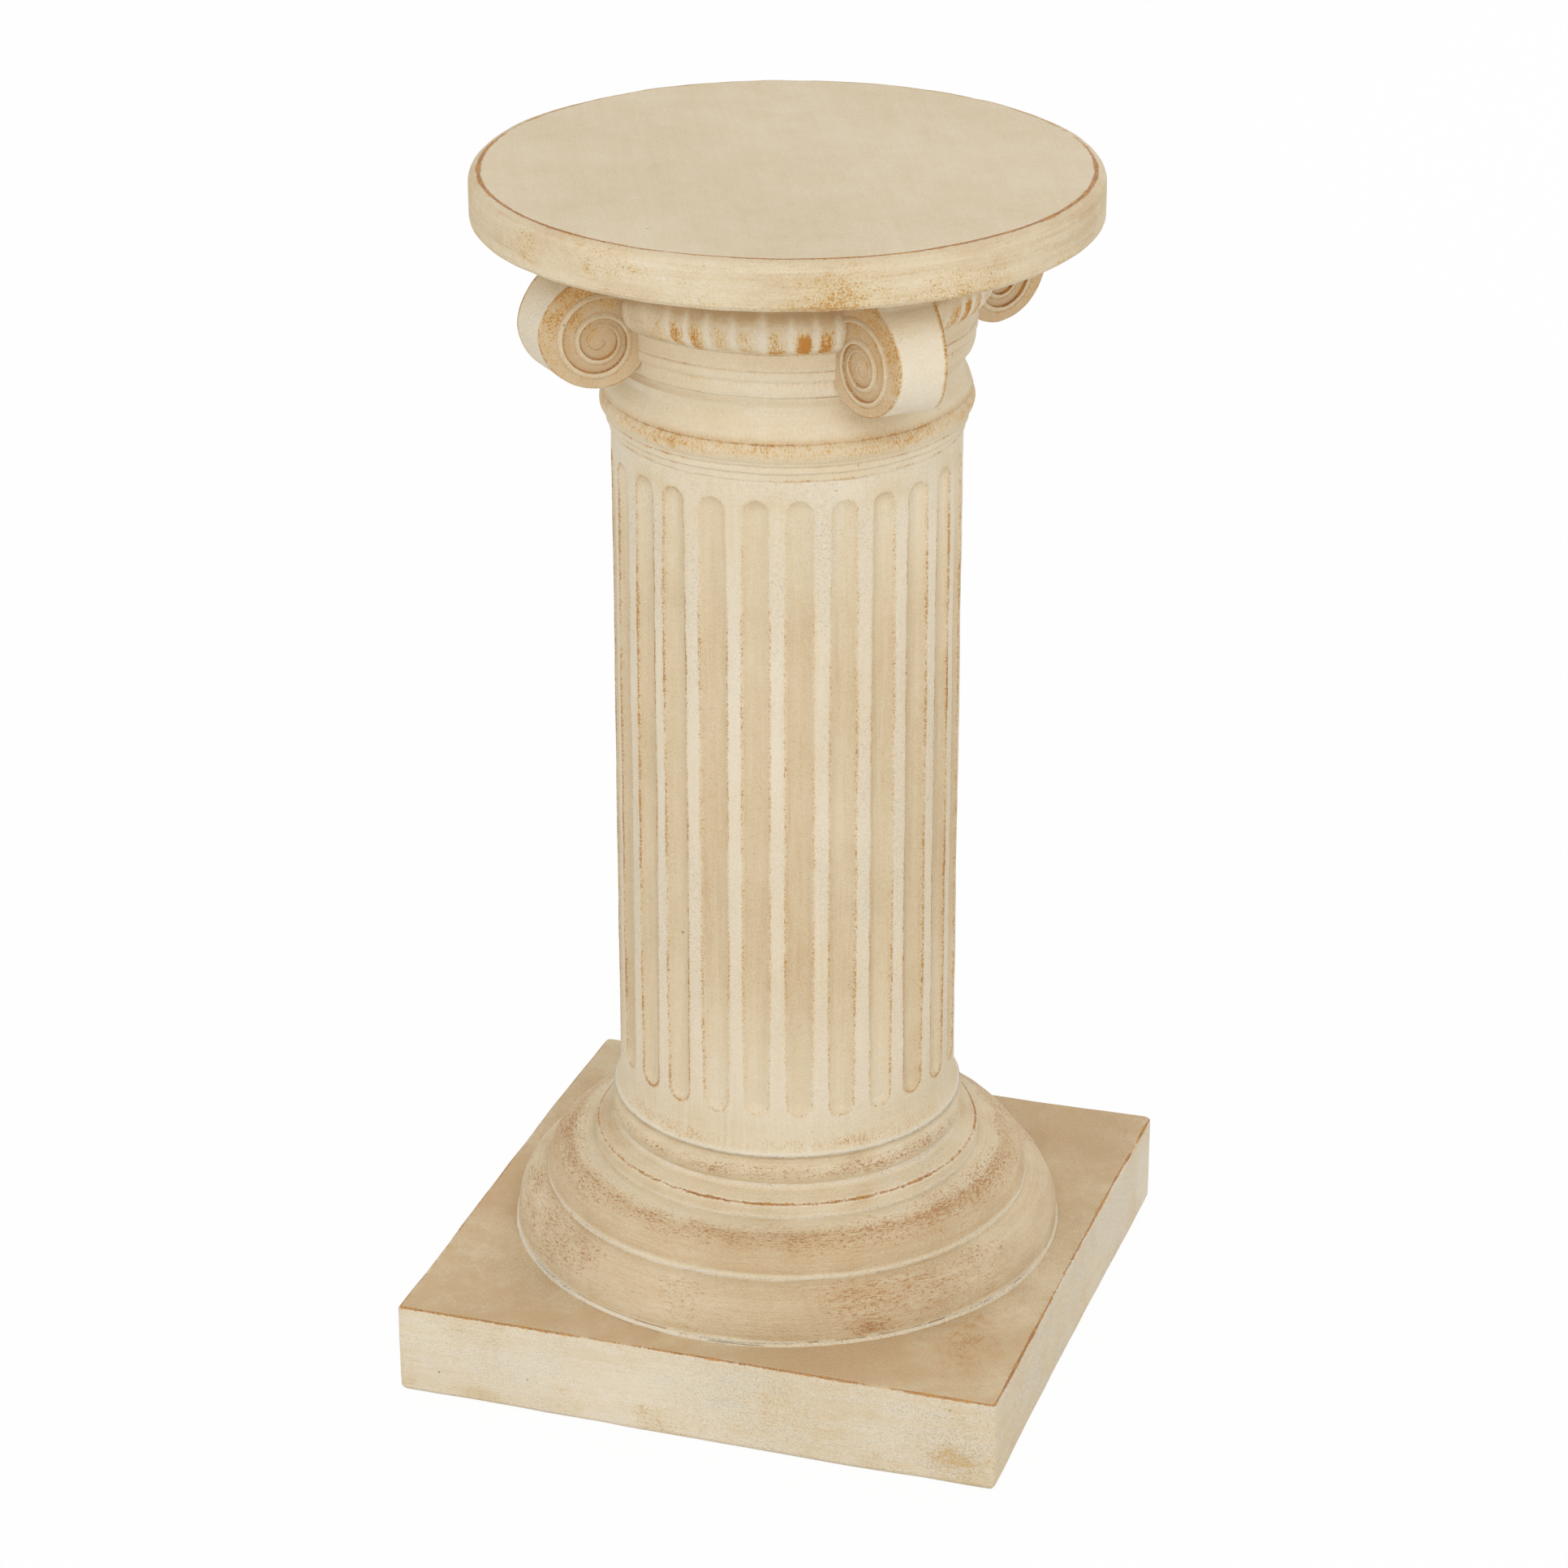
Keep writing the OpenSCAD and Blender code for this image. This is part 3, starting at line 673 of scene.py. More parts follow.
def bell():
    core = SHAFT_R + 2 * MM
    seat = ECHINUS_BOTTOM + 1 * MM
    corners = [
        *corners_at(
            WAIST_R, BELL_BOTTOM, (0.2, -1.7, 0), (1.3, 0.7, 0.6), (3.8, 5.5, 0.4), (4.6, 5.8, 0.6)
        ),
        *corners_at(
            BELL_R, BELL_BOTTOM, (-1.4, 8.2, 1), (-1.2, 10, 1), (-1.6, 13.2, 0.7), (-0.4, 15, 1.2),
            (-0.2, 18.3, 0.5), (-0.8, 18.9, 0.4), (-0.3, 19.8, 0.6)
        ),
        (BELL_R - 0.5 * MM, seat, 0), (core, seat, 0), (core, BELL_TOP, 0),
    ]

    def marks(across, up, p):
        over = (up - BELL_BOTTOM) / MM
        upper = smooth_step(19, 21, over)
        seam = bump_at(over, 5.6, 0.5)
        groove = bump_at(over, 18.9, 0.4)
        uneven = patches(p, 0.5, 0.4, 40, 10, 47)
        # Near each volute the lower bell and its seam are painted darker, in tone and glaze: painted contact
        # shadow, with glaze
        shadow_and_glaze = smooth_step(9, 5, over) * near_corner(p, 15)
        return {
            "tone": 0.45 * shadow_and_glaze + 0.28 + 0.08 * waves(p, 50, 10, 46) + 0.14 * upper
            + 0.18 * bump_at(over, 2, 2.5),
            "glaze_and_shade": 0.55 * seam * (1 + near_corner(p, 14)) + 0.3 * shadow_and_glaze
            + 0.3 * bump_at(over, 13.2, 0.7) + 0.45 * groove,
            "line": (0.55 * seam + 0.45 * groove) * uneven,
            "rub": 0.35 * bump_at(over, 12.6, 1.6) * uneven,
        }

    piece = turned("bell_fillets", corners, BELL_BORE, marks)
    dress(piece, column_paint, "capital_casting", "capital_bell")


def slab():
    edge = 5.2 * MM
    rim = SLAB_R - 0.4 * MM
    crease = rim - edge
    high = SLAB_TOP - 0.15 * MM
    corners = [
        (6 * MM, SLAB_UNDER + 12.3 * MM, 0), *corners_at(SLAB_RECESS, SLAB_UNDER, (0, 12.3, 0), (0, 0, 0.4)),
        *corners_at(rim, SLAB_UNDER, (-2.4, 0, 1), (-0.2, 2.2, 1.4)),
        (rim, SLAB_TOP - edge - 1 * MM, 1 * MM), *arc(crease, high - edge, edge, edge, 4, 72, 14),
        *corners_at(crease, high, (0.6, -0.12, 0), (0, -0.02, 0), (-0.5, 0, 0), (-1, 0, 0), (-1.6, 0, 0)),
        (90 * MM, high, 0), (0.5 * MM, high, 0),
    ]
    path = np.array(outline(corners, 0.9 * MM))
    across, up = path[:, :1], path[:, 1:]
    angle = around(520)
    p = revolve(across, up, angle)
    side = smooth_step(SLAB_R - 12 * MM, SLAB_R - 2 * MM, across)
    push_out(p, False, lumps(p, 51, (90, 14, 0.5), (22, 18, 0.3)) * 0.35 * MM * side)
    p[..., 2] = np.minimum(p[..., 2], SLAB_TOP)
    p[[0, -1], :, :2] = 0
    over, under = (up - SLAB_UNDER) / MM, (high - up) / MM
    outer = across > rim - 4 * MM
    top = (under < 0.3) * smooth_step(crease + 0.3 * MM, crease - 0.6 * MM, across)
    foot = bump_at(over, 1.4, 1.8) * outer
    under_edge = bump_at(over, 1.1, 0.7) * outer
    away = angle - WORN_SIDE
    lip_w = (0.5 + 0.52 * np.sin(away) ** 2) * MM
    lip = bump_at(across, crease, lip_w) * (under < 1.6)
    lip = lip * (0.4 + 0.6 * smooth_step(-0.6, 0.2, np.cos(away)))
    uneven = patches(p, 0.5, 0.35, 60, 12, 53)
    patch_at = math.radians(-62)
    turn = (angle - patch_at + math.pi) % TURN - math.pi
    patch = (0.78 * bump_at(turn, 0, 0.1) + 0.35 * bump_at(turn, 0.42, 0.16)) * smooth_step(20, 4, over)
    patch = patch + 0.34 * bump_at(turn, -0.62, 0.1) * bump_at(under, 9, 4)
    patch = (patch + np.clip(waves(p, 50, 12, 54) - 1.2, 0, 0.5)) * outer
    fields = {
        "tone": 0.34 * top + (1 - top) * (0.54 + 0.1 * waves(p, 80, 10, 55)),
        "line": lip * (1 + 0.6 * uneven) + 0.4 * under_edge * uneven,
        "rub": (0.35 * lip + 0.3 * foot) * uneven + 0.6 * patch
        + (1 - top) * (0.08 + 0.07 * waves(p, 40, 10, 56)),
    }
    piece = grid_object("round_slab", p, fields, closed_rows=False)
    piece.data.materials.append(slab_top_paint)
    level = np.array([polygon.normal.z > 0.75 for polygon in piece.data.polygons])
    dress(piece, slab_paint, "slab_casting", "top_slab")
    piece.data.polygons.foreach_set("material_index", np.where(level, 0, 1).astype(np.int32))


# Plinth: loops of a rounded square, from the cavity round the foot and over the top

def unit_circle(count):
    """Points at the middles of equal steps round the circle"""
    angle = around(count) + math.pi / count
    return np.stack([np.cos(angle), np.sin(angle)], -1)


def square_loop(half, corner, count):
    """Points of a rounded square, evenly spread by angle seen from its centre"""
    direction = unit_circle(count)
    reach = half / np.abs(direction).max(-1)
    loop = direction * reach[:, None]
    centre = np.clip(loop, -(half - corner), half - corner)
    offset = loop - centre
    both = (np.abs(offset) > 1e-9).all(-1)
    size = np.linalg.norm(offset, axis=-1)
    loop[both] = centre[both] + offset[both] / size[both, None] * corner
    return loop


def plinth():
    half = PLINTH_HALF - 0.5 * MM
    wall = 16 * MM
    low, high = FLOOR_GAP, PLINTH_TOP
    roof = high - 12 * MM
    step = 0.9 * MM
    side = outline([
        (half - wall, roof, 0), (half - wall, low, 1 * MM),
        *corners_at(half, low, (-1.6, 0, 0.8), (-0.2, 2.2, 1.4), (0, 9, 3)),
        *corners_at(half, high, (0, -1.4, 0.9), (-1.4, 0, 0.9), (-6, 0, 0)),
    ], step)
    side += outline(corners_at(half, high, (-7, 0, 0), (-20, 0, 0)), 1.5 * MM)
    count = 1280
    circle = unit_circle(count)
    rows = []

    def add_row(loop, z):
        rows.append(np.column_stack([loop, np.full(count, z)]))

    shelf = square_loop(half - wall, 6 * MM, count)
    for t in (0, 0.5):
        add_row(circle * PLINTH_HOLE * (1 - t) + shelf * t, roof)
    for across, up in side:
        corner = max(2.4 * MM - (half - across) * 0.4, 1.6 * MM)
        add_row(square_loop(across, corner, count), up)
    last = rows[-1][:, :2]
    under_roll = circle * (118 * MM)
    for t in np.linspace(0.06, 1, 24):
        add_row(last * (1 - t) + under_roll * t, high)
    add_row(circle * PLINTH_HOLE, high)
    p = np.array(rows)
    outside = np.ones((len(rows), 1))
    inner_length = roof - low + wall - 3 * MM
    outside[:2 + int(inner_length / step)] = 0
    lump = lumps(p, 61, (140, 12, 0.8), (30, 18, 0.25))
    push_out(p, True, lump * 0.45 * MM * outside)
    p[..., 2] = np.maximum(p[..., 2], low)
    p[..., :2] = np.clip(p[..., :2], -PLINTH_HALF, PLINTH_HALF)
    over, under = (p[..., 2] - low) / MM, (high - p[..., 2]) / MM
    square = np.abs(p[..., :2])
    out = square.max(-1)
    top = smooth_step(0.9, 0.3, under + 0.45 * lump * (out < half - 2 * MM))
    crest_w = 0.44 + 0.13 * np.clip(waves(p, 30, 12, 66), -1, 1) + 0.18 * smooth_step(0, -half, p[..., 0])
    crest = bump_at(under, 0.45, crest_w) * smooth_step(half - 2.2 * MM, half - 1 * MM, out)
    foot = smooth_step(26, 4, over) * (1 - top)
    arris = smooth_step(half - 5 * MM, half - 1 * MM, square.min(-1)) * (1 - top)
    uneven = patches(p, 0.5, 0.35, 90, 12, 63)
    blotch = patches(p, 0.25, 0.5, 45, 12, 64)
    knock = spot(p, (half - 20 * MM, -half, low + 15 * MM), (13, 13, 8))
    scuff = spot(p, (half - 27 * MM, -half + 60 * MM, high), (17, 42, 5)) * top
    fields = {
        "tone": 0.86 * top + (1 - top) * (0.04 + 0.15 * foot * blotch + 0.18 * blotch)
        + 0.1 * waves(p, 110, 10, 65),
        "rub": (1 - top) * (0.1 + 0.1 * foot * blotch + 0.06 * blotch + 0.8 * knock)
        + 0.12 * arris * uneven + 0.3 * crest + 0.12 * top,
        "glaze_and_shade": 0.26 * top * patches(p, 0, 1, 45, 12, 67),
        "line": 0.26 * scuff + 0.1 * arris * uneven
        + crest * (0.8 + 0.55 * uneven + 0.4 * (p[..., 0] > half - 3 * MM)),
    }
    piece = grid_object("square_plinth", p, fields)
    dress(piece, plinth_paint, "plinth_casting", "plinth")


# Shaft: round-ended flutes cut into a tube

FLUTES = 25
FLUTE_COLUMNS = 36
# Angles from above, in degrees: the middle of the first flute, and the side whose edges are least worn
FIRST_FLUTE = -68.2
CALM_SIDE = -72
FLUTE_DEPTH = 2.8 * MM
FLUTE_W = 13.2 * MM
FLUTE_FROM = COLLAR_TOP + 20.5 * MM
FLUTE_TO = SHAFT_TOP - 10.3 * MM
FLARE_H = 13 * MM


def shaft():
    pitch = TURN / FLUTES
    local = (np.arange(FLUTE_COLUMNS) + 0.5) / FLUTE_COLUMNS - 0.5
    half_share = FLUTE_W / (2 * SHAFT_R * pitch)
    squeeze = local + 0.012 * np.sin(local / half_share * math.pi)
    starts = np.arange(FLUTES) * pitch
    angle = (starts[:, None] + math.radians(FIRST_FLUTE) + squeeze * pitch).ravel()
    flute = np.repeat(np.arange(FLUTES), FLUTE_COLUMNS)
    across = np.tile(squeeze * pitch * SHAFT_R, FLUTES)
    cap = 1.3 * FLUTE_W / 2
    heights = np.concatenate([
        np.linspace(COLLAR_TOP, COLLAR_TOP + FLARE_H, 16),
        np.linspace(COLLAR_TOP + FLARE_H + 1 * MM, FLUTE_FROM - 1.2 * MM, 5),
        np.linspace(FLUTE_FROM - 0.6 * MM, FLUTE_FROM + cap, 22),
        np.linspace(FLUTE_FROM + cap, FLUTE_TO - cap, 90)[1:-1],
        np.linspace(FLUTE_TO - cap, FLUTE_TO + 0.6 * MM, 22),
        np.linspace(FLUTE_TO + 1.2 * MM, SHAFT_TOP, 8),
    ])
    z = heights[:, None]
    above = np.clip(z - COLLAR_TOP, 0, FLARE_H) / FLARE_H
    flare = (1 - np.sqrt(1 - (1 - above) ** 2 * 0.999)) ** 0.8
    skin = SHAFT_R + (FOOT_R - 0.4 * MM - SHAFT_R) * flare

    # Each flute departs a little from the even pattern
    random = np.random.default_rng(71)
    shift = random.normal(0, 0.3 * MM, FLUTES)[flute]
    lean = random.normal(0, 0.35 * MM, FLUTES)[flute]
    width = FLUTE_W / 2 * random.normal(0.99, 0.035, FLUTES)[flute]
    depth = FLUTE_DEPTH * random.normal(1, 0.1, FLUTES)[flute]
    start = FLUTE_FROM + random.normal(0, 0.45 * MM, FLUTES)[flute]
    end = FLUTE_TO + random.normal(0, 0.45 * MM, FLUTES)[flute]
    shade = random.normal(0, 0.05, FLUTES)[flute]
    aside = np.abs(np.sin(starts + math.radians(FIRST_FLUTE - CALM_SIDE)))
    worn = random.uniform(0, 0.42, (2, FLUTES)) + 0.62 * smooth_step(0.4, 0.85, aside)
    worn = np.clip(worn, 0, 1)[:, flute]
    filled = random.uniform(0.1, 0.9, FLUTES)[flute]

    rise, under = (z - FLUTE_FROM) / MM, (FLUTE_TO - z) / MM
    along = (z - FLUTE_FROM) / (FLUTE_TO - FLUTE_FROM) - 0.5
    wander = waves(np.stack(np.broadcast_arrays(flute, z * 90, 0), -1), 1000, 12, 76)
    off = across - shift - lean * along
    off = off + 0.09 * MM * wander * np.sign(off)
    half_w = width * (1 + 0.09 * smooth_step(0, 90, rise) * smooth_step(0, 70, under))
    past = np.maximum(0, np.maximum(start + half_w - z, z - (end - half_w)))
    radial = np.sqrt(off ** 2 + past ** 2) / half_w
    shallow = 1 - 0.45 * filled * smooth_step(90, 0, rise)
    cut = depth * shallow * (1 - np.clip(radial, 0, 1) ** 2.4) ** 1.2
    p = revolve(skin - cut, z, angle)
    push_out(p, False, lumps(p, 72, (80, 14, 0.6), (20, 18, 0.4)) * 0.2 * MM)

    # The bore takes two rows, which lie outside every flute
    p = np.concatenate([p, revolve(SHAFT_BORE, np.array([[SHAFT_TOP], [COLLAR_TOP]]), angle)])
    radial = np.concatenate([radial, np.full((2, len(angle)), 2)])
    sideways = off / half_w
    to_right = smooth_step(-0.6, 0.6, np.concatenate([sideways, sideways[-2:]]))
    z = p[..., 2]
    over, rise, under = (z - COLLAR_TOP) / MM, (z - FLUTE_FROM) / MM, (FLUTE_TO - z) / MM
    strength = worn[0] * (1 - to_right) + worn[1] * to_right
    edge = bump_at(radial, 0.98, 0.11) * (1 - 0.75 * smooth_step(70, 8, under) * (1 - strength))
    pale_end = 0.3 + 0.7 * smooth_step(2, 75, under)
    pale_end *= 1 - filled * smooth_step(110, 10, rise)
    uneven = patches(p, 0.55, 0.4, 70, 14, 74)
    inside = smooth_step(1.1, 0.72, radial)
    head = 0.34 * bump_at(under, -1, 7) * patches(p, 0, 1, 60, 12, 77)
    # The tone paints the lowest edge of the flare pale: a painted highlight, with worn wash
    fields = {
        "tone": 0.07 + head + 0.14 * bump_at(radial, 0.95, 0.22) + inside * pale_end * (0.53 + shade)
        + 0.06 * waves(p, 90, 12, 75) + 0.22 * smooth_step(34, 6, over) * (1 - inside)
        + 0.06 * smooth_step(230, 40, over) - 0.45 * bump_at(over, 0.4, 1.1),
        "glaze_and_shade": 0.45 * bump_at(radial, 0.9, 0.09) * (0.3 + 0.7 * strength) * inside,
        "rub": edge * (0.3 + 0.66 * strength) * (0.5 + 0.6 * uneven)
        + 0.34 * bump_at(over, 5, 4) * uneven + 0.05 * inside,
        "line": edge * (0.1 + 0.38 * smooth_step(0.35, 1, strength)) * uneven,
    }
    brush = ring_brush(np.column_stack([p[:, 0, 2] * 0, p[:, 0, 2]]), angle)
    piece = grid_object("fluted_tube", p, fields, 0.12, brush=brush)
    dress(piece, shaft_paint, "shaft_casting", "fluted_shaft")


# Volutes: each face carries a spiral fillet, and the rim runs across between the faces

VOLUTE_REACH = 136.3 * MM
RIM_W = 24.8 * MM
TAPER = math.radians(10.4)
EYE_REACH = VOLUTE_REACH - 29.7 * MM
EYE_HALF_W = RIM_W / 2 + (VOLUTE_REACH - EYE_REACH) * math.tan(TAPER)
EYE_Z = SLAB_UNDER - 41.4 * MM
CROWN_POWER = 1.8
SPIRAL_END = 11
# Radius of the spiral line in mm after each number of quarter turns from the top
SPIRAL = (
    (-2, 26.5), (-1, 23.5), (0, 20), (1, 18.2), (2, 16), (3, 12.2), (4, 10.3), (5, 10), (6, 9.5),
    (7, 7.8), (8, 6.7), (9, 6.8), (9.5, 5.9), (10, 4.2), (10.5, 2.6), (11, 1.3), (12, 0.6), (20, 0.3),
)
SMOOTHING = 71
SPIRAL_TURNS = np.linspace(-2, 20, 2201)
SPIRAL_RADII = np.interp(SPIRAL_TURNS, *np.array(SPIRAL).T) * MM
SPIRAL_RADII = np.pad(SPIRAL_RADII, SMOOTHING // 2, "edge")
SPIRAL_RADII = np.convolve(SPIRAL_RADII, np.full(SMOOTHING, 1 / SMOOTHING), "valid")


def volute_outline(angles):
    """Distance from the eye to the outline, at each angle from the outward direction"""
    centre, low = 0.7 * MM, -1.6 * MM
    inner_w, inner_h, outer = 24 * MM, 22 * MM, 29 * MM
    rise, crown_rise, crown_w, crown_h = 5.4 * MM, 4 * MM, 29.6 * MM, 27.6 * MM
    top, shoulder = BELL_TOP - EYE_Z, 28.3 * MM
    rounds = arc(centre, low, inner_w, inner_h, 180, 270, 40) + arc(centre, rise, outer, outer, 270, 357, 50)
    points = [(across, up) for across, up, _ in rounds]
    for w in np.linspace(crown_rise, shoulder, 40):
        share = ((w - crown_rise) / crown_h) ** CROWN_POWER
        points.append((crown_w * (1 - share) ** (1 / CROWN_POWER), w))
    points += [(t, top) for t in np.linspace(8.5 * MM, -inner_w, 40)]
    points += [(centre - inner_w, w) for w in np.linspace(top, low, 30)[1:-1]]
    flat = np.array(points)
    at = np.arctan2(flat[:, 1], flat[:, 0]) % TURN
    order = np.argsort(at)
    return np.interp(angles % TURN, at[order], np.hypot(*flat.T)[order], period=TURN)


def quarters_at(angles):
    """Quarter turns from the top, going outward and down"""
    return ((math.pi / 2 - angles) / (math.pi / 2)) % 4


def spiral_radius(quarters):
    return np.interp(quarters, SPIRAL_TURNS, SPIRAL_RADII)


def spiral_relief(r, angle):
    """Height over the face, and how much each point lies in the channel, on the line and on the fillet"""
    first = quarters_at(angle)
    height, channel, line, fillet = (np.zeros_like(r) for _ in range(4))
    for turn in range(-1, 3):
        quarters = first + 4 * turn
        here = smooth_step(-1.6, -0.9, quarters) * smooth_step(SPIRAL_END + 0.1, SPIRAL_END - 0.3, quarters)
        crossing = spiral_radius(quarters)
        pitch = np.maximum(crossing - spiral_radius(quarters + 4), 1.5 * MM)
        size = smooth_step(9, 6, quarters) * 0.65 + 0.35
        wide = 3.1 * MM * size
        inward = crossing - r
        ridge = smooth_step(0.3 * MM, -0.5 * MM, inward) * smooth_step(wide, 0.25 * wide, -inward)
        floor = smooth_step(-0.15 * MM, 0.2 * MM, inward) * np.clip(1 - inward / (0.92 * pitch), 0, 1)
        height += here * size * (0.8 * MM * ridge - 0.95 * MM * floor)
        channel = np.maximum(channel, here * floor)
        line = np.maximum(line, here * size * bump_at(inward, 0.1 * MM, 0.3 * MM))
        line = np.maximum(line, 0.55 * here * size * bump_at(-inward, 0.95 * wide, 0.28 * MM))
        fillet = np.maximum(fillet, here * ridge * size)
    return height, channel, line, fillet


def volute(name, node, diagonal, seed):
    edge = 0.7 * MM
    sink = -0.15 * MM
    angles = around(300)
    reach = volute_outline(angles)
    share = np.linspace(0.004, 1, 130) ** 0.92
    out, side_way = revolve(1, 0, diagonal), revolve(1, 0, diagonal + TURN / 4)
    up = np.array([0, 0, 1])
    flat_r = share[:, None] * (reach - edge)
    height, *marks = spiral_relief(flat_r, np.broadcast_to(angles, flat_r.shape))
    border = smooth_step(reach - 0.8 * MM, reach - 2.6 * MM, flat_r)
    bend = np.linspace(0, math.pi / 2, 6)[1:, None]
    rounding = reach - edge + edge * np.sin(bend)
    drop = np.broadcast_to(sink - edge * (1 - np.cos(bend)), rounding.shape)
    lift = np.concatenate([height * border + sink, drop])
    flat_r = np.concatenate([flat_r, rounding])
    channel, line, fillet = (
        np.concatenate([values * border, np.zeros(rounding.shape)]) for values in marks
    )
    outward_by, up_by = flat_r * np.cos(angles), flat_r * np.sin(angles)
    halves = []
    for side in (1, -1):
        along = math.cos(TAPER) * out - side * math.sin(TAPER) * side_way
        normal = math.sin(TAPER) * out + side * math.cos(TAPER) * side_way
        eye = EYE_REACH * out + side * EYE_HALF_W * side_way + EYE_Z * up
        parts = (outward_by, along), (up_by, up), (lift, normal)
        halves.append(eye + sum(by[..., None] * way for by, way in parts))
    first, second = halves[0], halves[1][::-1]
    t = np.linspace(0, 1, 18)[1:-1, None, None]
    rim = first[-1] * (1 - t) + second[0] * t
    p = np.concatenate([first, rim, second])
    push_out(p, False, lumps(p, seed, (30, 14, 0.6), (9, 18, 0.3)) * 0.14 * MM)
    p[..., 2] = np.minimum(p[..., 2], BELL_TOP)

    def both(values, between=0):
        return np.concatenate([values, np.full(rim.shape[:2], between), values[::-1]])

    away = (angles - math.radians(40) + math.pi) % TURN - math.pi
    outward = bump_at(away, 0, math.radians(62))
    first_turn = spiral_radius(quarters_at(angles))
    band = smooth_step(first_turn + 2.5 * MM, first_turn + 4 * MM, flat_r)
    corner = bump_at(flat_r, reach - 0.45 * edge, 0.42 * MM)
    shadow = smooth_step(BELL_TOP - 20 * MM, BELL_TOP - 4 * MM, p[..., 2])
    uneven = patches(p, 0.55, 0.35, 30, 12, seed + 2)
    face_tone = 0.86 + 0.18 * channel - 0.34 * fillet
    face_rub = (0.15 + outward) * (0.66 * band + 0.6 * channel) * (1 - fillet)
    fields = {
        "tone": both(face_tone, -0.05) + 0.45 * shadow + 0.06 * waves(p, 30, 10, seed + 3),
        "glaze_and_shade": both(0.15 * channel + 0.55 * line),
        "rub": both(face_rub) * (0.4 + 0.6 * uneven),
        "line": both(0.8 * line + 0.62 * corner) * (0.6 + 0.4 * uneven),
    }
    piece = grid_object(name, p, fields, closed_rows=False)
    dress(piece, volute_paint, "volute_casting", node)


# Echinus: soft ribs on a bulging band, between the volutes

# Grooves between the ribs, in degrees from the middle of a band, and how deep each is
GROOVES = (
    (-30.5, 0.25), (-23.5, 0.35), (-16.5, 0.7), (-10.7, 1), (-4.2, 0.9), (3, 0.9), (10.8, 1),
    (18.5, 0.9), (25.2, 1), (31, 0.8),
)
# Middles of the ribs, in degrees, and how far each is rubbed through
WORN_RIBS = (
    (-27, 0.2), (-20, 0.6), (-13.6, 1.05), (-7.4, 0.9), (-0.7, 0.6), (6.9, 0.65), (14.9, 0.65),
    (22.1, 1.4), (28.3, 1.4),
)


def echinus(name, node, middle, seed):
    core = SHAFT_R + 3.2 * MM
    crest = SHAFT_R + 13.8 * MM
    low = ECHINUS_BOTTOM - 0.6 * MM
    half_span = math.radians(45) - math.asin(EYE_HALF_W / crest) + math.radians(0.6)
    corners = [
        (core, low, 0), (BELL_R - 0.8 * MM, low, 0.5 * MM),
        *arc(crest - 12 * MM, low + 13.5 * MM, 12 * MM, 13.5 * MM, -55, 42, 34),
        (SHAFT_R + 10.5 * MM, low + 24 * MM, 3 * MM), (SHAFT_R + 10.5 * MM, BELL_TOP, 0),
    ]
    outer = np.array(outline(corners, 0.7 * MM))
    back = np.array([(core, BELL_TOP - t * (BELL_TOP - low)) for t in (0, 0.33, 0.66)])
    path = np.concatenate([outer, back])
    high = path[:, 1:]
    over = (high - low) / MM
    offset = np.linspace(-half_span, half_span, 230)
    angle = middle + offset
    random = np.random.default_rng(seed)
    groove = np.zeros(len(offset))
    for degrees, deep in GROOVES:
        at = math.radians(degrees + random.normal(0, 0.25))
        groove = np.maximum(groove, deep * bump_at(offset, at, math.radians(1.15)))
    worn = np.zeros(len(offset))
    for degrees, share in WORN_RIBS:
        worn = np.maximum(worn, share * bump_at(offset, math.radians(degrees), math.radians(3)))
    end_w = math.radians(3.4)
    end_part = np.clip((np.abs(offset) - half_span + end_w) / end_w, 0, 1)
    tall = smooth_step(1.2, 6, over) * smooth_step(27, 17, over)
    tall[len(outer):] = 0
    r = path[:, :1] + 0.95 * MM * tall * (1 - groove) - 0.2 * MM
    swell = np.clip((r - core) / (crest - core), 0, 1)
    r = r - 6 * MM * swell * (1 - np.sqrt(1 - 0.999 * end_part ** 2))
    p = revolve(r, high, angle)
    lump = lumps(p, seed, (25, 14, 0.6), (8, 18, 0.3))
    lump[len(outer):] = 0
    p += revolve(1, 0, angle) * (lump * 0.25 * MM)[..., None]
    crown = smooth_step(0.5, 3, over) * smooth_step(18, 10, over)
    uneven = 0.85 + 0.25 * waves(p, 12, 10, seed + 2)
    # The band's top is painted darker in tone and glaze: painted shade under the slab, with glaze; the glaze
    # channel also darkens a narrow strip along the foot
    fields = {
        "tone": 0.5 + 0.75 * smooth_step(13, 24, over) - 0.55 * groove * tall
        + 0.08 * waves(p, 20, 10, seed + 3),
        "rub": 0.92 * crown * (1 - 0.95 * groove) * worn * uneven,
        "glaze_and_shade": 0.35 * bump_at(over, 0.6, 1) + 0.45 * smooth_step(15, 26, over),
        "line": 0.3 * bump_at(over, 0.8, 0.9) * (1 - groove),
    }
    piece = grid_object(name, p, fields, 0, closed_columns=False, brush=ring_brush(path, angle))
    dress(piece, echinus_paint, "echinus_casting", node)


lower_roll()
upper_roll()
base_ring()
plinth()
shaft()
neck()
bell()
slab()
QUARTERS = ("front_right", -45), ("back_right", 45), ("back_left", 135), ("front_left", -135)
for place, (label, degrees) in enumerate(QUARTERS):
    volute("scroll_" + label, "volute_" + label, math.radians(degrees), 81 + 4 * place)
SIDES = ("front", -90), ("right", 0), ("back", 90), ("left", 180)
for place, (label, degrees) in enumerate(SIDES):
    echinus("ribbed_band_" + label, "echinus_" + label, math.radians(degrees), 101 + 4 * place)


# CAD pieces that stay: the abacus and everything inside

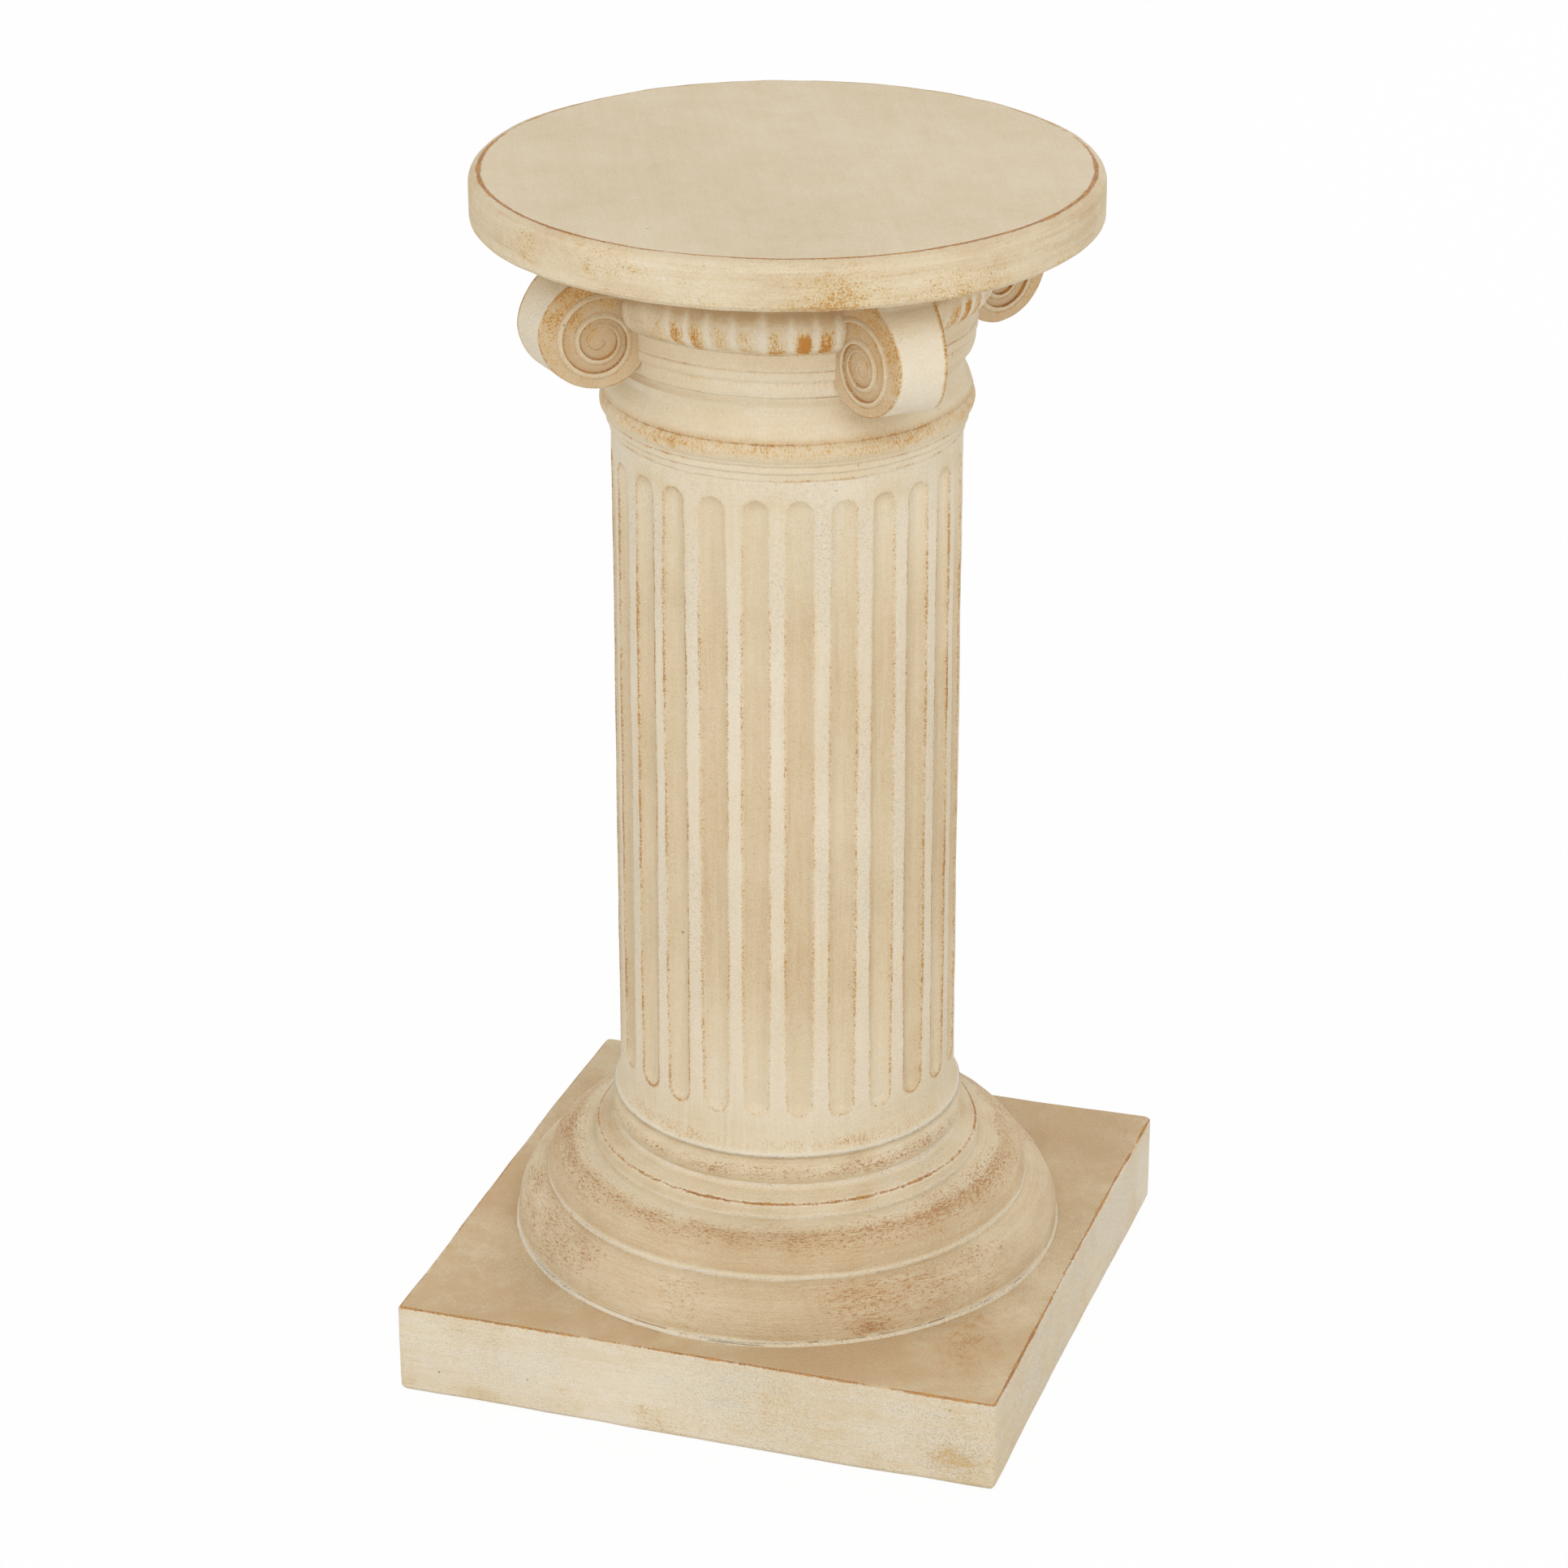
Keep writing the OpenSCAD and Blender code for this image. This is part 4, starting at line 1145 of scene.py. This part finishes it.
birch = plain_paint("birch plywood", ((0.56, 0.38, 0.2), (0.7, 0.52, 0.31)), 14, 0.62, grain=(1, 9, 9))
pine = plain_paint("sawn pine", ((0.58, 0.41, 0.22), (0.72, 0.56, 0.35)), 16, 0.68, grain=(9, 9, 1))
zinc = plain_paint("dull zinc", ((0.46, 0.47, 0.48), (0.6, 0.61, 0.62)), 60, 0.38, 1)
steel = plain_paint("mill steel", ((0.13, 0.13, 0.135), (0.24, 0.235, 0.23)), 30, 0.45, 1, (1, 12, 12))
felt = plain_paint("brown felt", ((0.075, 0.052, 0.035), (0.15, 0.11, 0.075)), 900, 0.95)

for node, material in {
    "abacus_plate": column_paint, "slab_board": birch, "corner_blocks": pine, "board_screws": zinc,
    "tee_nut": zinc, "tie_rod": zinc, "washer": zinc, "hex_nut": zinc, "spreader_bar": steel,
    "foot_pads": felt,
}.items():
    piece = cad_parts[node]
    piece.data.materials.clear()
    piece.data.materials.append(material)


# Floor, light and camera

WHITE = (1, 1, 1)
# How much of the floor's own shading the white hides; the rest shows the object's shadow
FLOOR_WHITE = 0.96


def floor():
    half = 12
    mesh = bpy.data.meshes.new("floor")
    corners = [(x * half, y * half, 0) for x, y in ((-1, -1), (1, -1), (1, 1), (-1, 1))]
    mesh.from_pydata(corners, [], [(0, 1, 2, 3)])
    piece = add_object("floor", mesh)
    p = Paint("pale floor")
    p.fill(p.shader, {"Base Color": (0.86, 0.855, 0.845), "Roughness": 0.9})
    glow = p.add("ShaderNodeEmission", {"Color": WHITE, "Strength": 1})
    p.output("Material Output", p.times(p.seen(), FLOOR_WHITE), p.shader, glow)
    mesh.materials.append(p.material)


def look(thing, place, way):
    """Puts a lamp or the camera at a place, looking along a direction"""
    thing.location = place
    thing.rotation_mode = "QUATERNION"
    thing.rotation_quaternion = way.to_track_quat("-Z", "Y")


# Name, place, side in m and power in W
LAMPS = (
    ("front soft box", (1.1, -2.6, 2.1), 2.4, 43),
    ("left fill", (-2.6, -1.4, 1.5), 2, 16),
    ("right fill", (2.7, -0.5, 1.3), 1.6, 7),
    ("back fill", (0.4, 2.8, 1.9), 2, 20),
)
LAMP_AIM = Vector((0, 0, 0.35))


def light():
    for name, place, size, power in LAMPS:
        data = bpy.data.lights.new(name, "AREA")
        data.shape = "SQUARE"
        data.size = size
        data.energy = power
        look(add_object(name, data), place, LAMP_AIM - Vector(place))
    world = bpy.data.worlds.new("studio")
    bpy.context.scene.world = world
    world.use_nodes = True
    sky = Nodes(world.node_tree)
    ambient = sky.fill(sky.tree.nodes["Background"], {"Color": (1, 0.99, 0.975), "Strength": 0.62})
    white = sky.add("ShaderNodeBackground", {"Color": WHITE, "Strength": 1})
    sky.output("World Output", sky.seen(), ambient, white)


CAMERA_AZIMUTH = math.radians(17.78)
CAMERA_PITCH = math.radians(24.03)
CAMERA_DISTANCE = 2.1576
CAMERA_HEIGHT = 1.2523
FOCAL_PIXELS = 5839
PHOTO_SIDE = 1932
AXIS_PIXEL = 970


def camera():
    data = bpy.data.cameras.new("camera")
    data.sensor_width = 36
    data.lens = FOCAL_PIXELS * data.sensor_width / PHOTO_SIDE
    data.shift_x = -(AXIS_PIXEL - PHOTO_SIDE / 2) / PHOTO_SIDE
    data.clip_end = 100
    holder = add_object("camera", data)
    across, ahead = math.sin(CAMERA_AZIMUTH), -math.cos(CAMERA_AZIMUTH)
    level = math.cos(CAMERA_PITCH)
    back = Vector((across * level, ahead * level, math.sin(CAMERA_PITCH)))
    look(holder, (CAMERA_DISTANCE * across, CAMERA_DISTANCE * ahead, CAMERA_HEIGHT), -back)
    bpy.context.scene.camera = holder


floor()
light()
camera()
bpy.context.scene.view_settings.view_transform = "Standard"
